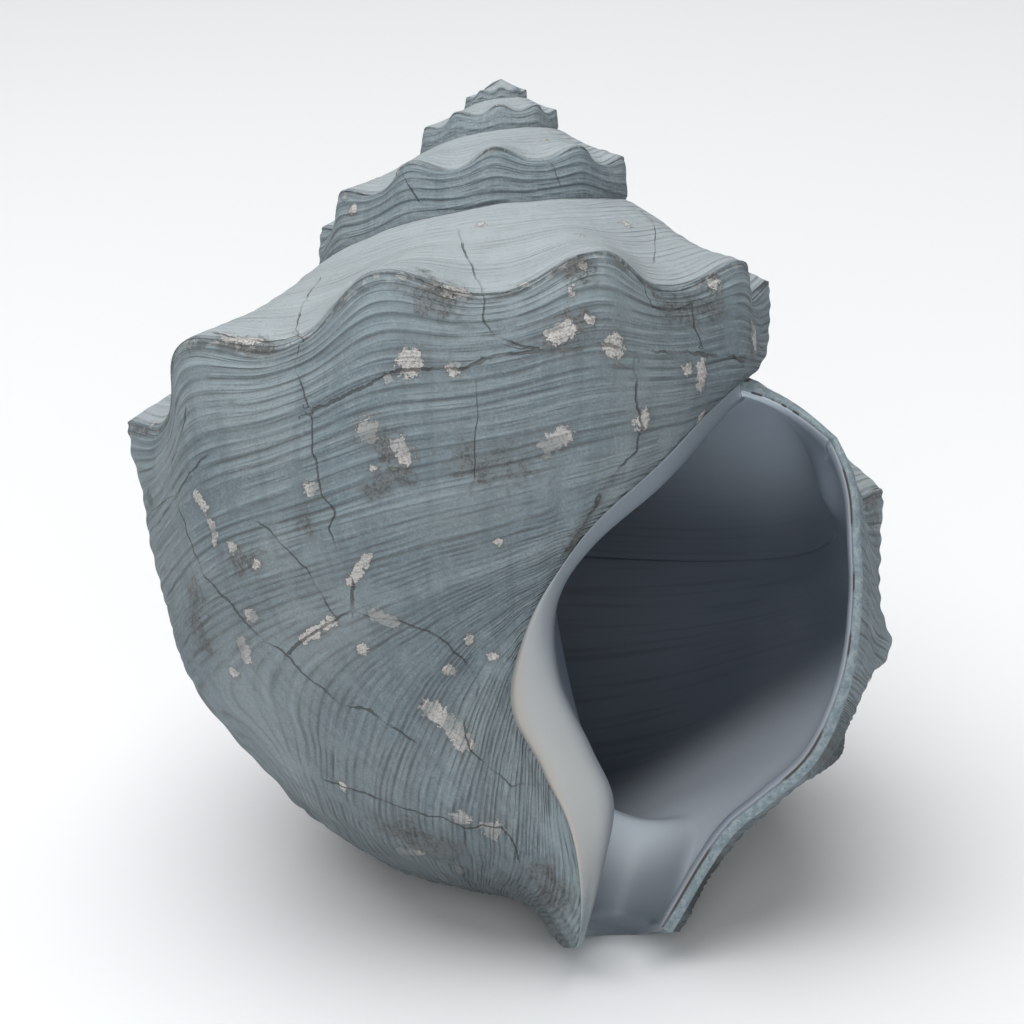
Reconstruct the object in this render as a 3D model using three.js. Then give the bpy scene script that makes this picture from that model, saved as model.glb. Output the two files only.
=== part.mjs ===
import * as THREE from "three";

// A large, weathered sea shell, standing on the end of its canal and on the knobs of its back.
// It is one coiled wall: a stepped spire with a scalloped shoulder, a wide hollow mouth with a
// thin outer lip, a smooth raised lip on the column side, and an open canal at the foot.
//
// The shell is drawn about its own axis: an angle (degrees, right-handed, growing toward the
// outer lip), a radius and a depth below the tip of the spire. Angle 0 is the right-hand side,
// 90 the front and 180 the left. Lengths are drawing units until the last step.

const LENGTH_MM = 140; // tip of the spire to the end of the canal, along the axis
const DRAWN_LENGTH = 872;
const MM = LENGTH_MM / DRAWN_LENGTH;

const LEAN = 34.7; // degrees the axis leans back from upright as the shell rests
const ROLL = 2.8; // degrees it rolls to the right as it rests

const LIP = 385; // angle of the outer lip
const START = -1255; // angle where the coil begins at the tip of the spire
const TURN = 360;
const GROWTH_RADIUS = 0.785; // natural log of the growth in one turn
const GROWTH_DEPTH = 0.833;
const TIP_SINK = 9; // how far the worn tip sits below the pole of the spiral
const WALL = 14; // thickness of the outer lip

// Profile of the whorl below its shoulder at a few angles: radius and depth at each station
// from the shoulder (0) past the suture with the next whorl (SUTURE) to the canal end (1).
const SUTURE = 0.34;
const STATIONS = [0, 0.05, 0.13, 0.23, SUTURE, 0.45, 0.56, 0.67, 0.77, 0.85, 0.92, 1];
const PROFILES = [
  { angle: -180,
    radius: [180, 181, 182, 182, 181, 172, 150, 120, 90, 66, 50, 40],
    depth: [152, 160, 174, 190, 209, 244, 272, 296, 318, 338, 358, 380] },
  { angle: 25,
    radius: [274, 274, 272, 267, 250, 212, 166, 120, 82, 62, 52, 46],
    depth: [238, 256, 285, 318, 348, 384, 414, 446, 482, 518, 552, 590] },
  { angle: 60,
    radius: [292, 292, 290, 284, 270, 250, 218, 176, 134, 102, 78, 58],
    depth: [258, 278, 312, 352, 394, 441, 490, 541, 590, 637, 690, 750] },
  { angle: 100,
    radius: [312, 312, 308, 301, 288, 266, 232, 184, 138, 106, 82, 60],
    depth: [277, 298, 338, 386, 440, 497, 552, 612, 670, 730, 795, 868] },
  { angle: 180,
    radius: [376, 371, 362, 350, 331, 312, 281, 242, 187, 124, 78, 60],
    depth: [348, 375, 412, 470, 545, 612, 676, 738, 787, 814, 830, 872] },
  { angle: 228,
    radius: [382, 379, 372, 360, 342, 318, 288, 252, 204, 138, 84, 60],
    depth: [374, 404, 448, 508, 577, 642, 700, 750, 790, 808, 824, 862] },
  { angle: 275,
    radius: [386, 383, 377, 366, 345, 312, 264, 204, 144, 100, 74, 60],
    depth: [400, 430, 480, 540, 602, 660, 708, 748, 778, 798, 820, 856] },
  { angle: 350,
    radius: [377, 375, 367, 361, 355, 338, 308, 262, 200, 150, 106, 60],
    depth: [436, 452, 485, 520, 560, 606, 650, 695, 738, 772, 808, 862] },
  { angle: LIP,
    radius: [343, 352, 361, 363, 362, 349, 318, 268, 205, 160, 116, 56],
    depth: [412, 432, 466, 515, 567, 618, 668, 717, 752, 776, 810, 864] },
];

// The canal end bends off the axis toward the lip.
const BEND = { from: 560, over: 420, by: 124 };

// Angles of the shoulder knobs; before the first one they follow every KNOB_STEP degrees.
const KNOBS = [-340, -303, -267, -236, -203, -170, -137, -104, -70, -35,
  1, 36, 73, 111, 148, 186, 218, 252, 290, 326, 358, 386, 418];
const KNOB_STEP = 36;
const KNOB_OUT = 0.088; // share of the radius
const KNOB_UP = 0.094;
const KNOB_SHARPNESS = 1.25;
const OUT_REACH = 0.19; // how far the knobs reach below the shoulder, in stations
const UP_REACH = 0.07;
const UP_REACH_INSIDE = 0.16; // softened on the inside
const RAMP_OUT_POWER = 2.6; // how late the knobs rise on the ramp above the shoulder
const RAMP_UP_POWER = 2.2;

// The ramp is slightly hollow, and swells near the lip.
const RAMP_SAG = 0.05; // share of its width
const LIP_SAG = -0.08;
const LIP_SAG_FROM = 340;

// The suture runs a little lower on the front of the spire.
const SUTURE_DIP = 0.055; // share of the depth
const DIP_ENDS = -60;
const DIP_FADES = 120;

// Lower knobs on the last half turn: angle, station, height, half widths.
const LOWER_KNOBS = [
  [218, 0.4, 7, 8, 0.05], [252, 0.4, 14, 8, 0.05], [290, 0.4, 17, 8, 0.05],
  [326, 0.4, 17, 8, 0.05], [358, 0.41, 20, 8, 0.06],
  [218, 0.53, 12, 10.5, 0.085], [252, 0.53, 33, 10.5, 0.085], [290, 0.53, 45, 10.5, 0.085],
  [326, 0.53, 32, 10.5, 0.085], [358, 0.67, 21, 8, 0.055],
];

// Edge of the raised lip on the column side: station and angle on the last whorl.
const COLUMN_STATION = [SUTURE, 0.4, 0.47, 0.54, 0.62, 0.7, 0.77, 0.85, 0.92, 1];
const COLUMN_ANGLE = [25, 38, 50, 67, 78, 88, 97, 95, 98, 145];

// Inner edge of the mouth from the canal round to the suture: right, front, down.
const CANAL_END = 0.585; // places round the mouth, 0..1
const CANAL_ROUND = [0.5, 0.53, 0.56, CANAL_END];
const INNER_EDGE = [
  [140, 18, 857], [122, -45, 860], [91, -45, 858], [73, -15, 848],
  [72, 18, 854], [87, 45, 802], [97, 70, 746], [76, 98, 695], [48, 130, 636],
  [46, 152, 567], [81, 166, 514], [139, 155, 463], [187, 130, 415], [211, 112, 369],
];

const radians = (degrees) => (degrees * Math.PI) / 180;
const clamp = (x, low, high) => Math.min(Math.max(x, low), high);
const mix = (a, b, t) => a + (b - a) * t;

function smooth(x) {
  const t = clamp(x, 0, 1);
  return t * t * (3 - 2 * t);
}

// Smooth curve through the points (xs, ys).
function curve(xs, ys, x) {
  const last = xs.length - 1;
  let i = 0;
  while (i < last - 1 && x > xs[i + 1]) i += 1;
  const rise = (k) => (ys[k + 1] - ys[k]) / (xs[k + 1] - xs[k]);
  const slope = (k) => {
    if (k === 0) return rise(0);
    if (k === last) return rise(last - 1);
    const before = xs[k] - xs[k - 1];
    const after = xs[k + 1] - xs[k];
    return mix(rise(k - 1), rise(k), before / (before + after));
  };
  const h = xs[i + 1] - xs[i];
  const t = (x - xs[i]) / h;
  const s = 1 - t;
  return (1 + 2 * t) * s * s * ys[i] + t * s * s * h * slope(i)
    + t * t * (3 - 2 * t) * ys[i + 1] - t * t * s * h * slope(i + 1);
}

const PROFILE_ANGLES = PROFILES.map((p) => p.angle);
const profileCache = new Map();

function profileAt(angle) {
  if (!profileCache.has(angle)) {
    const first = PROFILE_ANGLES[0];
    const within = clamp(angle, first, LIP);
    const turns = Math.min(angle - first, 0) / TURN;
    const row = (key, growth) => STATIONS.map((_, i) =>
      curve(PROFILE_ANGLES, PROFILES.map((p) => p[key][i]), within) * Math.exp(growth * turns));
    const sink = TIP_SINK * (1 - Math.exp(GROWTH_DEPTH * turns));
    profileCache.set(angle, {
      radius: row("radius", GROWTH_RADIUS),
      depth: row("depth", GROWTH_DEPTH).map((z) => z + sink),
    });
  }
  return profileCache.get(angle);
}

// Radius and depth below the shoulder, without knobs.
function side(angle, station) {
  const p = profileAt(angle);
  return [curve(STATIONS, p.radius, station), curve(STATIONS, p.depth, station)];
}

// 1 on top of a shoulder knob, 0 in the hollow between two.
function knob(angle) {
  let phase;
  if (angle < KNOBS[0]) {
    phase = (angle - KNOBS[0]) / KNOB_STEP;
  } else {
    let i = 0;
    while (i < KNOBS.length - 2 && angle > KNOBS[i + 1]) i += 1;
    phase = (angle - KNOBS[i]) / (KNOBS[i + 1] - KNOBS[i]);
  }
  return Math.pow(0.5 + 0.5 * Math.cos(2 * Math.PI * phase), KNOB_SHARPNESS);
}

function dip(angle, depth, station) {
  return SUTURE_DIP * depth * Math.sin(radians(angle)) * smooth(station / SUTURE)
    * smooth((DIP_ENDS - angle) / DIP_FADES);
}

// Wall below the shoulder; hollows is true for the wall as if it had no knobs.
function wall(angle, station, hollows) {
  const [radius, depth] = side(angle, station);
  const shoulder = side(angle, 0)[0];
  const sunk = hollows ? -1 : knob(angle) - 1;
  let out = KNOB_OUT * shoulder * sunk * Math.exp(-Math.pow(station / OUT_REACH, 1.6));
  const upReach = hollows ? UP_REACH_INSIDE : UP_REACH;
  const up = KNOB_UP * shoulder * sunk * Math.exp(-Math.pow(station / upReach, 1.5));
  if (!hollows) {
    for (const [a, at, height, halfTurn, halfStation] of LOWER_KNOBS) {
      out += height * Math.exp(-(((angle - a) / halfTurn) ** 2)
        - ((station - at) / halfStation) ** 2);
    }
  }
  return [radius + out, depth - up + dip(angle, depth, station)];
}

// Outside of the whorl: v from -1 at the upper suture to 0 at the shoulder to 1 at the canal.
function outside(angle, v, hollows = false) {
  if (v >= 0) return wall(angle, v, hollows);
  const along = v + 1;
  const [topRadius, topDepth] = wall(angle - TURN, SUTURE, hollows);
  const [radius, depth] = side(angle, 0);
  const bow = mix(RAMP_SAG, LIP_SAG, smooth((angle - LIP_SAG_FROM) / (LIP - LIP_SAG_FROM)));
  const sag = bow * Math.hypot(radius - topRadius, depth - topDepth) * Math.sin(Math.PI * along);
  const sunk = radius * (hollows ? -1 : knob(angle) - 1);
  return [
    mix(topRadius, radius, along) + KNOB_OUT * sunk * Math.pow(along, RAMP_OUT_POWER),
    mix(topDepth, depth, along) + sag - KNOB_UP * sunk * Math.pow(along, RAMP_UP_POWER),
  ];
}

function place(radius, depth, angle) {
  const bend = BEND.by * smooth((depth - BEND.from) / BEND.over);
  const a = radians(angle);
  return [bend + radius * Math.cos(a), radius * Math.sin(a), depth];
}

const onOutside = (angle, v) => place(...outside(angle, v), angle);

// Outside profile moved into the wall by the given thickness. The inside has no knobs, apart
// from the first degrees behind the lip, where it leaves the scalloped edge.
const SCALLOPS_END = 14;

function inside(angle, v, thickness) {
  const plain = smooth((LIP - angle) / SCALLOPS_END);
  const at = (w) => {
    const knobbed = outside(angle, w);
    return outside(angle, w, true).map((x, k) => mix(knobbed[k], x, plain));
  };
  const step = 0.004;
  const [r, z] = at(v);
  const [r1, z1] = at(clamp(v - step, -1, 1));
  const [r2, z2] = at(clamp(v + step, -1, 1));
  const length = Math.hypot(r2 - r1, z2 - z1);
  return [r - (thickness * (z2 - z1)) / length, z + (thickness * (r2 - r1)) / length];
}

const columnAngle = (station) => curve(COLUMN_STATION, COLUMN_ANGLE, station);

// Places round the mouth run 0 (suture) .. 0.5 (lip end of the canal) .. 0.6 (column tip) .. 1.
const LIP_END = 0.5;
const COLUMN_TIP = 0.6;
const lipStation = (place01) => (2 * place01) / LIP_END - 1;
const columnPlace = (station) => COLUMN_TIP + (1 - COLUMN_TIP) * ((1 - station) / (1 - SUTURE));
const ROUND = [...CANAL_ROUND, ...COLUMN_STATION.map(columnPlace).reverse()];

function mouthEdge(place01) {
  if (place01 <= LIP_END) return onOutside(LIP, lipStation(place01));
  if (place01 < COLUMN_TIP) {
    const t = (place01 - LIP_END) / (COLUMN_TIP - LIP_END);
    return onOutside(mix(LIP, columnAngle(1), t), 1);
  }
  const station = 1 - ((1 - SUTURE) * (place01 - COLUMN_TIP)) / (1 - COLUMN_TIP);
  return onOutside(columnAngle(station), station);
}

// Wall of the hollow, swept back from the mouth by some degrees.
const CORNER = 0.06; // stations left solid at the upper suture
const CANAL_LEAVES = 70; // degrees of sweep over which the hollow leaves the canal
const CANAL_SHARE = 0.2; // share of the wall below the shoulder that the canal takes
const COLUMN_JOINS = 95; // degrees over which the column side takes up the coil
const COLUMN_RADIUS = 38;
const WALL_THICKENS = 4;
// Above the foot of the column: distance outside its radius, and share of its height.
const COLUMN_FLARE = [[12, 0.08], [4, 0.2], [0, 0.4], [1, 0.65]];
const UNDER_LAST_TURN = [0.77, 0.68, 0.6, 0.52, 0.44]; // stations of the turn before

function hollowOuter(angle, sweep, v) {
  const reach = 1 - CANAL_SHARE * smooth(sweep / CANAL_LEAVES);
  const at = Math.max(v > 0 ? v * reach : v, CORNER - 1);
  return inside(angle, at, WALL + WALL_THICKENS * smooth(sweep / 60));
}

function hollowColumn(angle, sweep, place01) {
  const [lowRadius, lowDepth] = hollowOuter(angle, sweep, 1);
  const corner = hollowOuter(angle, sweep, -1);
  const before = (station) => side(angle - TURN, station);
  const [coreRadius, coreDepth] = before(0.85);
  const height = Math.max(lowDepth - coreDepth, 30);
  const column = COLUMN_RADIUS * Math.exp(-sweep / 500);
  const points = [
    [lowRadius, lowDepth], [lowRadius * 0.8, lowDepth - 2], [lowRadius * 0.6, lowDepth - 8],
    ...COLUMN_FLARE.map(([out, share]) => [column + out, lowDepth - share * height]),
    [Math.max(coreRadius + 6, column), coreDepth],
    ...UNDER_LAST_TURN.map((s) => before(s)).map(([r, z]) => [r + 7, z + 3]),
    corner,
  ];
  return [0, 1].map((k) => curve(ROUND, points.map((p) => p[k]), place01));
}

// How the wall leaves the mouth's inner edge: the canal floor runs up and curves back, and the
// column side runs back.
function leave(sweep, place01) {
  const away = Math.min(sweep, 90);
  const canal = [-0.2 * away, (-0.2 - 0.0085 * away) * away, (-1.25 + 0.0052 * away) * away];
  const column = [-0.45 * away, -1.5 * away, -0.1 * away];
  const onColumn = smooth((place01 - CANAL_END) / 0.09);
  return canal.map((x, k) => mix(x, column[k], onColumn));
}

function hollow(sweep, place01) {
  const angle = LIP - sweep;
  if (place01 <= LIP_END) {
    return place(...hollowOuter(angle, sweep, lipStation(place01)), angle);
  }
  const edge = INNER_EDGE.slice(1, -1);
  edge.unshift(place(...hollowOuter(LIP, 0, 1), LIP));
  edge.push(place(...hollowOuter(LIP, 0, -1), LIP));
  const off = leave(sweep, place01);
  const deep = place(...hollowColumn(angle, sweep, place01), angle);
  const free = smooth((place01 - LIP_END) / 0.04) * smooth((1 - place01) / 0.08);
  const joined = mix(1, smooth(sweep / COLUMN_JOINS), free);
  return deep.map((d, k) => mix(curve(ROUND, edge.map((p) => p[k]), place01) + off[k],
    d, joined));
}

// Rounded edge between the outside and the hollow.
const RIM_LIP = 6; // how far the edge stands out, at the lip and on the column side
const RIM_COLUMN = 15;
const RIM_LEAST = 4; // at the canal and the suture

function rim(place01, t) {
  const from = mouthEdge(place01);
  const to = hollow(0, place01);
  const inward = hollow(3, place01).map((x, k) => x - to[k]);
  const reach = Math.hypot(...inward);
  const onLip = 1 - smooth((place01 - LIP_END) / 0.06);
  const onCanal = smooth((place01 - LIP_END) / 0.03) * (1 - smooth((place01 - CANAL_END) / 0.03));
  const view = [-0.15, 1, 0.1];
  const down = [0, 0.2, 1];
  const raw = view.map((x, k) => mix(mix(x, -inward[k] / reach, onLip), down[k], onCanal));
  const size = Math.hypot(...raw);
  const nearSuture = smooth((1 - place01) / CORNER);
  const standing = mix(RIM_LEAST, onLip > 0.5 ? RIM_LIP : RIM_COLUMN, nearSuture);
  const height = mix(standing, RIM_LEAST, onCanal);
  const shape = place01 > COLUMN_TIP ? 1.55 * t ** 0.42 * (1 - t) ** 0.55
    : Math.sin(Math.PI * t) ** 0.7;
  const swell = (height * shape) / size;
  return from.map((x, k) => mix(x, to[k], t) + raw[k] * swell);
}

// Mesh
const STEPS = 60; // facets in one turn
const RAMP = [-1, -0.66, -0.36, -0.15];
const SHOULDER_DOWN = [0, 0.04, 0.1, 0.18, 0.26];
const BELOW = [SUTURE, 0.42, 0.5, 0.58, 0.66, 0.74, 0.82, 0.9, 0.95, 1];
const RIM_STEPS = [0.3, 0.65];
const SWEEPS = [0, 3, 10, 20, 34, 52, 74, 100, 132, 170, 210, 250, 285];
const CAP_SWEEP = 299;
const CAP = [[0.8, 0.5], [0.45, 0.85]];

const points = [];
const triangles = [];
const add = (p) => points.push(p) - 1;

function quad(a, b, c, d) {
  triangles.push([a, c, b], [a, d, c]);
}

function coil() {
  const step = TURN / STEPS;
  const rows = Math.round((LIP - START) / step);
  const columns = [...RAMP, ...SHOULDER_DOWN];
  const grid = [];
  for (let i = 0; i <= rows; i += 1) {
    const angle = LIP - step * (rows - i);
    grid.push(columns.map((v) => add(onOutside(angle, v))));
  }
  const below = BELOW.map((station, j) => {
    const from = columnAngle(station);
    const row = [];
    for (let i = 0; i <= STEPS; i += 1) {
      const corner = j === 0 && i === 0;
      row.push(corner ? grid[rows][0] : add(onOutside(mix(from, LIP, i / STEPS), station)));
    }
    return row;
  });
  const suture = (i) => (i <= rows ? grid[i][0] : below[0][i - rows]);
  grid.forEach((row, i) => row.push(suture(i + STEPS)));
  for (let i = 0; i < rows; i += 1) {
    for (let j = 0; j < columns.length; j += 1) {
      quad(grid[i][j], grid[i][j + 1], grid[i + 1][j + 1], grid[i + 1][j]);
    }
  }
  for (let j = 0; j < BELOW.length - 1; j += 1) {
    for (let i = 0; i < STEPS; i += 1) {
      quad(below[j][i], below[j + 1][i], below[j + 1][i + 1], below[j][i + 1]);
    }
  }
  tip(grid);
  return mouthRing(grid[rows], below, columns);
}

function tip(grid) {
  const loop = [];
  for (let i = 0; i <= STEPS; i += 1) loop.push(grid[i][0]);
  for (let j = grid[0].length - 2; j > 0; j -= 1) loop.push(grid[0][j]);
  const first = points[grid[0][0]];
  const peak = add([0, 0, first[2] - 3]);
  loop.forEach((a, i) => triangles.push([peak, loop[(i + 1) % loop.length], a]));
}

// Outer edge of the mouth as a ring of points with their places round it.
function mouthRing(lipRow, below, columns) {
  const ring = columns.map((v, j) => ({ at: lipRow[j], place01: ((v + 1) * LIP_END) / 2 }));
  BELOW.forEach((s, j) => ring.push({ at: below[j][STEPS], place01: ((s + 1) * LIP_END) / 2 }));
  const end = below[below.length - 1];
  for (let i = STEPS - 1; i > 0; i -= 1) {
    ring.push({ at: end[i], place01: mix(LIP_END, COLUMN_TIP, 1 - i / STEPS) });
  }
  for (let j = BELOW.length - 1; j > 0; j -= 1) {
    ring.push({ at: below[j][0], place01: columnPlace(BELOW[j]) });
  }
  return ring;
}

// Triangles between two rings, whatever their numbers of points.
function join(a, b) {
  const next = (ring, i) => (i + 1 < ring.length ? ring[i + 1].place01 : 1);
  let i = 0;
  let j = 0;
  while (i < a.length || j < b.length) {
    const useA = j >= b.length || (i < a.length && next(a, i) <= next(b, j));
    const p = a[i % a.length].at;
    const q = b[j % b.length].at;
    if (useA) {
      i += 1;
      triangles.push([p, q, a[i % a.length].at]);
    } else {
      j += 1;
      triangles.push([p, q, b[j % b.length].at]);
    }
  }
}

const SIDE_STEPS = 18; // facets along each side of the mouth
const AROUND = [];
for (let i = 0; i < SIDE_STEPS; i += 1) AROUND.push((LIP_END * i) / SIDE_STEPS);
AROUND.push(LIP_END, 0.52, 0.54, 0.56, 0.58);
for (let i = 0; i < SIDE_STEPS; i += 1) AROUND.push(mix(COLUMN_TIP, 1, i / SIDE_STEPS));

const ringOf = (pointAt) => AROUND.map((place01) => ({ at: add(pointAt(place01)), place01 }));

function mouth(edge) {
  const rings = [edge];
  for (const t of RIM_STEPS) rings.push(ringOf((p) => rim(p, t)));
  for (const sweep of SWEEPS) rings.push(ringOf((p) => hollow(sweep, p)));
  const middle = (ring) => [0, 1, 2].map((k) =>
    ring.reduce((sum, r) => sum + points[r.at][k], 0) / ring.length);
  const last = rings[rings.length - 1];
  const centre = middle(last);
  const far = ringOf((p) => hollow(CAP_SWEEP, p));
  const end = middle(far);
  points.length -= far.length;
  for (const [size, along] of CAP) {
    rings.push(last.map((r) => ({
      at: add(points[r.at].map((x, k) => centre[k] + (x - centre[k]) * size
        + (end[k] - centre[k]) * along)),
      place01: r.place01,
    })));
  }
  for (let i = 0; i + 1 < rings.length; i += 1) join(rings[i], rings[i + 1]);
  const tail = rings[rings.length - 1];
  const peak = add(end);
  tail.forEach((r, i) => triangles.push([r.at, peak, tail[(i + 1) % tail.length].at]));
}

mouth(coil());

// From the shell's own axes (right, front, down) to the resting pose, in millimetres.
const rest = new THREE.Matrix4().makeRotationY(radians(ROLL))
  .multiply(new THREE.Matrix4().makeRotationX(radians(-LEAN)));
const placed = points.map(([right, front, down]) =>
  new THREE.Vector3(right, -front, -down).applyMatrix4(rest).multiplyScalar(MM));
const box = new THREE.Box3().setFromPoints(placed);
const middle = box.getCenter(new THREE.Vector3());

const geometry = new THREE.BufferGeometry();
const positions = placed.flatMap((p) => [p.x - middle.x, p.y - middle.y, p.z - box.min.z]);
geometry.setAttribute("position", new THREE.Float32BufferAttribute(positions, 3));
geometry.setIndex(triangles.flat());
geometry.computeVertexNormals();

const shell = new THREE.Mesh(geometry, new THREE.MeshStandardMaterial({
  color: 0x8ea0a8,
  roughness: 0.75,
  metalness: 0,
}));
shell.name = "shell";

const group = new THREE.Group();
group.add(shell);

export default group;
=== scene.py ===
import bpy
import numpy as np
from mathutils import Matrix, Vector


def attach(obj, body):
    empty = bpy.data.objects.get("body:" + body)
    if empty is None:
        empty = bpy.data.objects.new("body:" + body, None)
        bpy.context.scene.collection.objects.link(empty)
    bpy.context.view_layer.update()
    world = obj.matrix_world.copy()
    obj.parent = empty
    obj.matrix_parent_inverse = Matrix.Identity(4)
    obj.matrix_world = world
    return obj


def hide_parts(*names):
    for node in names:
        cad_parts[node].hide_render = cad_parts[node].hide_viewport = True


# A large, weathered sea shell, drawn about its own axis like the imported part: an angle in degrees, a
# radius and a depth below the tip of the spire. Angle 0 is the right-hand side, 90 the front and 180
# the left. Lengths are drawing units until they are placed.

LENGTH_MM = 140
DRAWN_LENGTH = 872
MM = LENGTH_MM / DRAWN_LENGTH
UNITS_PER_METRE = 1000 / MM
APEX_MM = (3.257, 36.789, 119.390)  # tip of the axis in the frame
LEAN = 34.7
ROLL = 2.8

LIP = 385.0
START = -1255.0
TURN = 360.0
GROWTH_RADIUS = 0.785
GROWTH_DEPTH = 0.833
TIP_SINK = 9.0
WALL = 14.0
WALL_THICKENS = 4
THICKENS_OVER = 60

SUTURE = 0.34
STATIONS = np.array([0, 0.05, 0.13, 0.23, SUTURE, 0.45, 0.56, 0.67, 0.77, 0.85, 0.92, 1])
# angle, then radius and depth at each station
PROFILES = [
    (-180, [180, 181, 182, 182, 181, 172, 150, 120, 90, 66, 50, 40],
     [152, 160, 174, 190, 209, 244, 272, 296, 318, 338, 358, 380]),
    (25, [274, 274, 272, 267, 250, 212, 166, 120, 82, 62, 52, 46],
     [238, 256, 285, 318, 348, 384, 414, 446, 482, 518, 552, 590]),
    (60, [292, 292, 290, 284, 270, 250, 218, 176, 134, 102, 78, 58],
     [258, 278, 312, 352, 394, 441, 490, 541, 590, 637, 690, 750]),
    (100, [312, 312, 308, 301, 288, 266, 232, 184, 138, 106, 82, 60],
     [277, 298, 338, 386, 440, 497, 552, 612, 670, 730, 795, 868]),
    (180, [376, 371, 362, 350, 331, 312, 281, 242, 187, 124, 78, 60],
     [348, 375, 412, 470, 545, 612, 676, 738, 787, 814, 830, 872]),
    (228, [382, 379, 372, 360, 342, 318, 288, 252, 204, 138, 84, 60],
     [374, 404, 448, 508, 577, 642, 700, 750, 790, 808, 824, 862]),
    (275, [386, 383, 377, 366, 345, 312, 264, 204, 144, 100, 74, 60],
     [400, 430, 480, 540, 602, 660, 708, 748, 778, 798, 820, 856]),
    (350, [377, 375, 367, 361, 355, 338, 308, 262, 200, 150, 106, 60],
     [436, 452, 485, 520, 560, 606, 650, 695, 738, 772, 808, 862]),
    (LIP, [343, 352, 361, 363, 362, 349, 318, 268, 205, 160, 116, 56],
     [412, 432, 466, 515, 567, 618, 668, 717, 752, 776, 810, 864]),
]
BEND_FROM, BEND_OVER, BEND_BY = 560, 420, 124

KNOBS = np.array([-340, -303, -267, -236, -203, -170, -137, -104, -70, -35,
                  1, 36, 73, 111, 148, 186, 218, 252, 290, 326, 358, 386, 418], float)
KNOB_STEP = 36
KNOB_SHARPNESS = 1.25
KNOB_OUT = 0.088
OUT_REACH, OUT_FALL = 0.19, 1.6
KNOB_UP = 0.094
UP_REACH = 0.07
UP_REACH_INSIDE = 0.16
UP_FALL = 1.5
RAMP_OUT_POWER = 2.6
RAMP_UP_POWER = 2.2
RAMP_SAG = 0.05
LIP_SAG = -0.08
LIP_SAG_FROM = 340
SUTURE_DIP = 0.055
DIP_ENDS = -60
DIP_FADES = 120
# angle, station, height, half widths
LOWER_KNOBS = [
    (218, 0.4, 7, 8, 0.05), (252, 0.4, 14, 8, 0.05), (290, 0.4, 17, 8, 0.05),
    (326, 0.4, 17, 8, 0.05), (358, 0.41, 20, 8, 0.06),
    (218, 0.53, 12, 10.5, 0.085), (252, 0.53, 33, 10.5, 0.085), (290, 0.53, 45, 10.5, 0.085),
    (326, 0.53, 32, 10.5, 0.085), (358, 0.67, 21, 8, 0.055),
]

COLUMN_STATION = [SUTURE, 0.4, 0.47, 0.54, 0.62, 0.7, 0.77, 0.85, 0.92, 1]
COLUMN_ANGLE = [25, 38, 50, 67, 78, 88, 97, 95, 98, 145]
CANAL_END = 0.585
CANAL_ROUND = [0.5, 0.53, 0.56, CANAL_END]
INNER_EDGE = [
    (140, 18, 857), (122, -45, 860), (91, -45, 858), (73, -15, 848),
    (72, 18, 854), (87, 45, 802), (97, 70, 746), (76, 98, 695), (48, 130, 636),
    (46, 152, 567), (81, 166, 514), (139, 155, 463), (187, 130, 415), (211, 112, 369),
]
LIP_END = 0.5
COLUMN_TIP = 0.6
CORNER = 0.06
SCALLOPS_END = 22
CANAL_LEAVES = 70
CANAL_SHARE = 0.2
COLUMN_JOINS = 95
COLUMN_RADIUS = 38
COLUMN_NARROWS = 500
COLUMN_LEAST = 30
CORE_STATION = 0.85
CORE_GAP = 6
FLOOR_KNOTS = [(1, 0), (0.8, 2), (0.6, 8)]  # share of the radius, height
COLUMN_FLARE = [(12, 0.08), (4, 0.2), (0, 0.4), (1, 0.65)]  # extra radius, share of the height
UNDER_LAST_TURN = [0.77, 0.68, 0.6, 0.52, 0.44]
UNDER_OUT = 7
UNDER_DOWN = 3
# drift of the mouth's inner edge for each degree of sweep, as x, y and depth
DRIFT_ENDS = 90
CANAL_DRIFT = np.array([-0.2, -0.2, -1.25])
CANAL_DRIFT_GROWS = np.array([0, -0.0085, 0.0052])
COLUMN_DRIFT = np.array([-0.45, -1.5, -0.1])
DRIFT_CHANGES = 0.09
FREE_AT_CANAL = 0.04
FREE_AT_SUTURE = 0.08
RIM_LEAST = 4
RIM_LIP = 6
RIM_COLUMN = 15
RIM_AHEAD = 3.0
COLUMN_RIM_WAY = np.array([-0.15, 1, 0.1])
CANAL_RIM_WAY = np.array([0, 0.2, 1])
LIP_ROUNDNESS = 0.7
COLUMN_BULGE, BULGE_START, BULGE_END = 1.55, 0.42, 0.55
SPLIT_AT = 0.56  # where the two layers of the lip part
SPLIT_DEPTH = 1.8
SPLIT_HALF = 0.06
TIP_WAY = np.array([0.14, 0.0, 0.99])  # which way the end of the column points
TIP_WORN = 11.0
TIP_SOFT = 3.0
TIP_REACH = 70
TIP_FADES = 30
SWEEP_END = 285
CAP_SWEEP = 299


def smooth(x):
    t = np.clip(x, 0, 1)
    return t * t * (3 - 2 * t)


def mix(a, b, t):
    return a + (b - a) * t


def slopes(x, y):
    """Slope at each point of the smooth curves y[..., i] over x[i]."""
    h = np.diff(x)
    rise = np.diff(y, axis=-1) / h
    w = h[:-1] / (h[:-1] + h[1:])
    inner = rise[..., :-1] * (1 - w) + rise[..., 1:] * w
    return np.concatenate([rise[..., :1], inner, rise[..., -1:]], -1)


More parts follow.
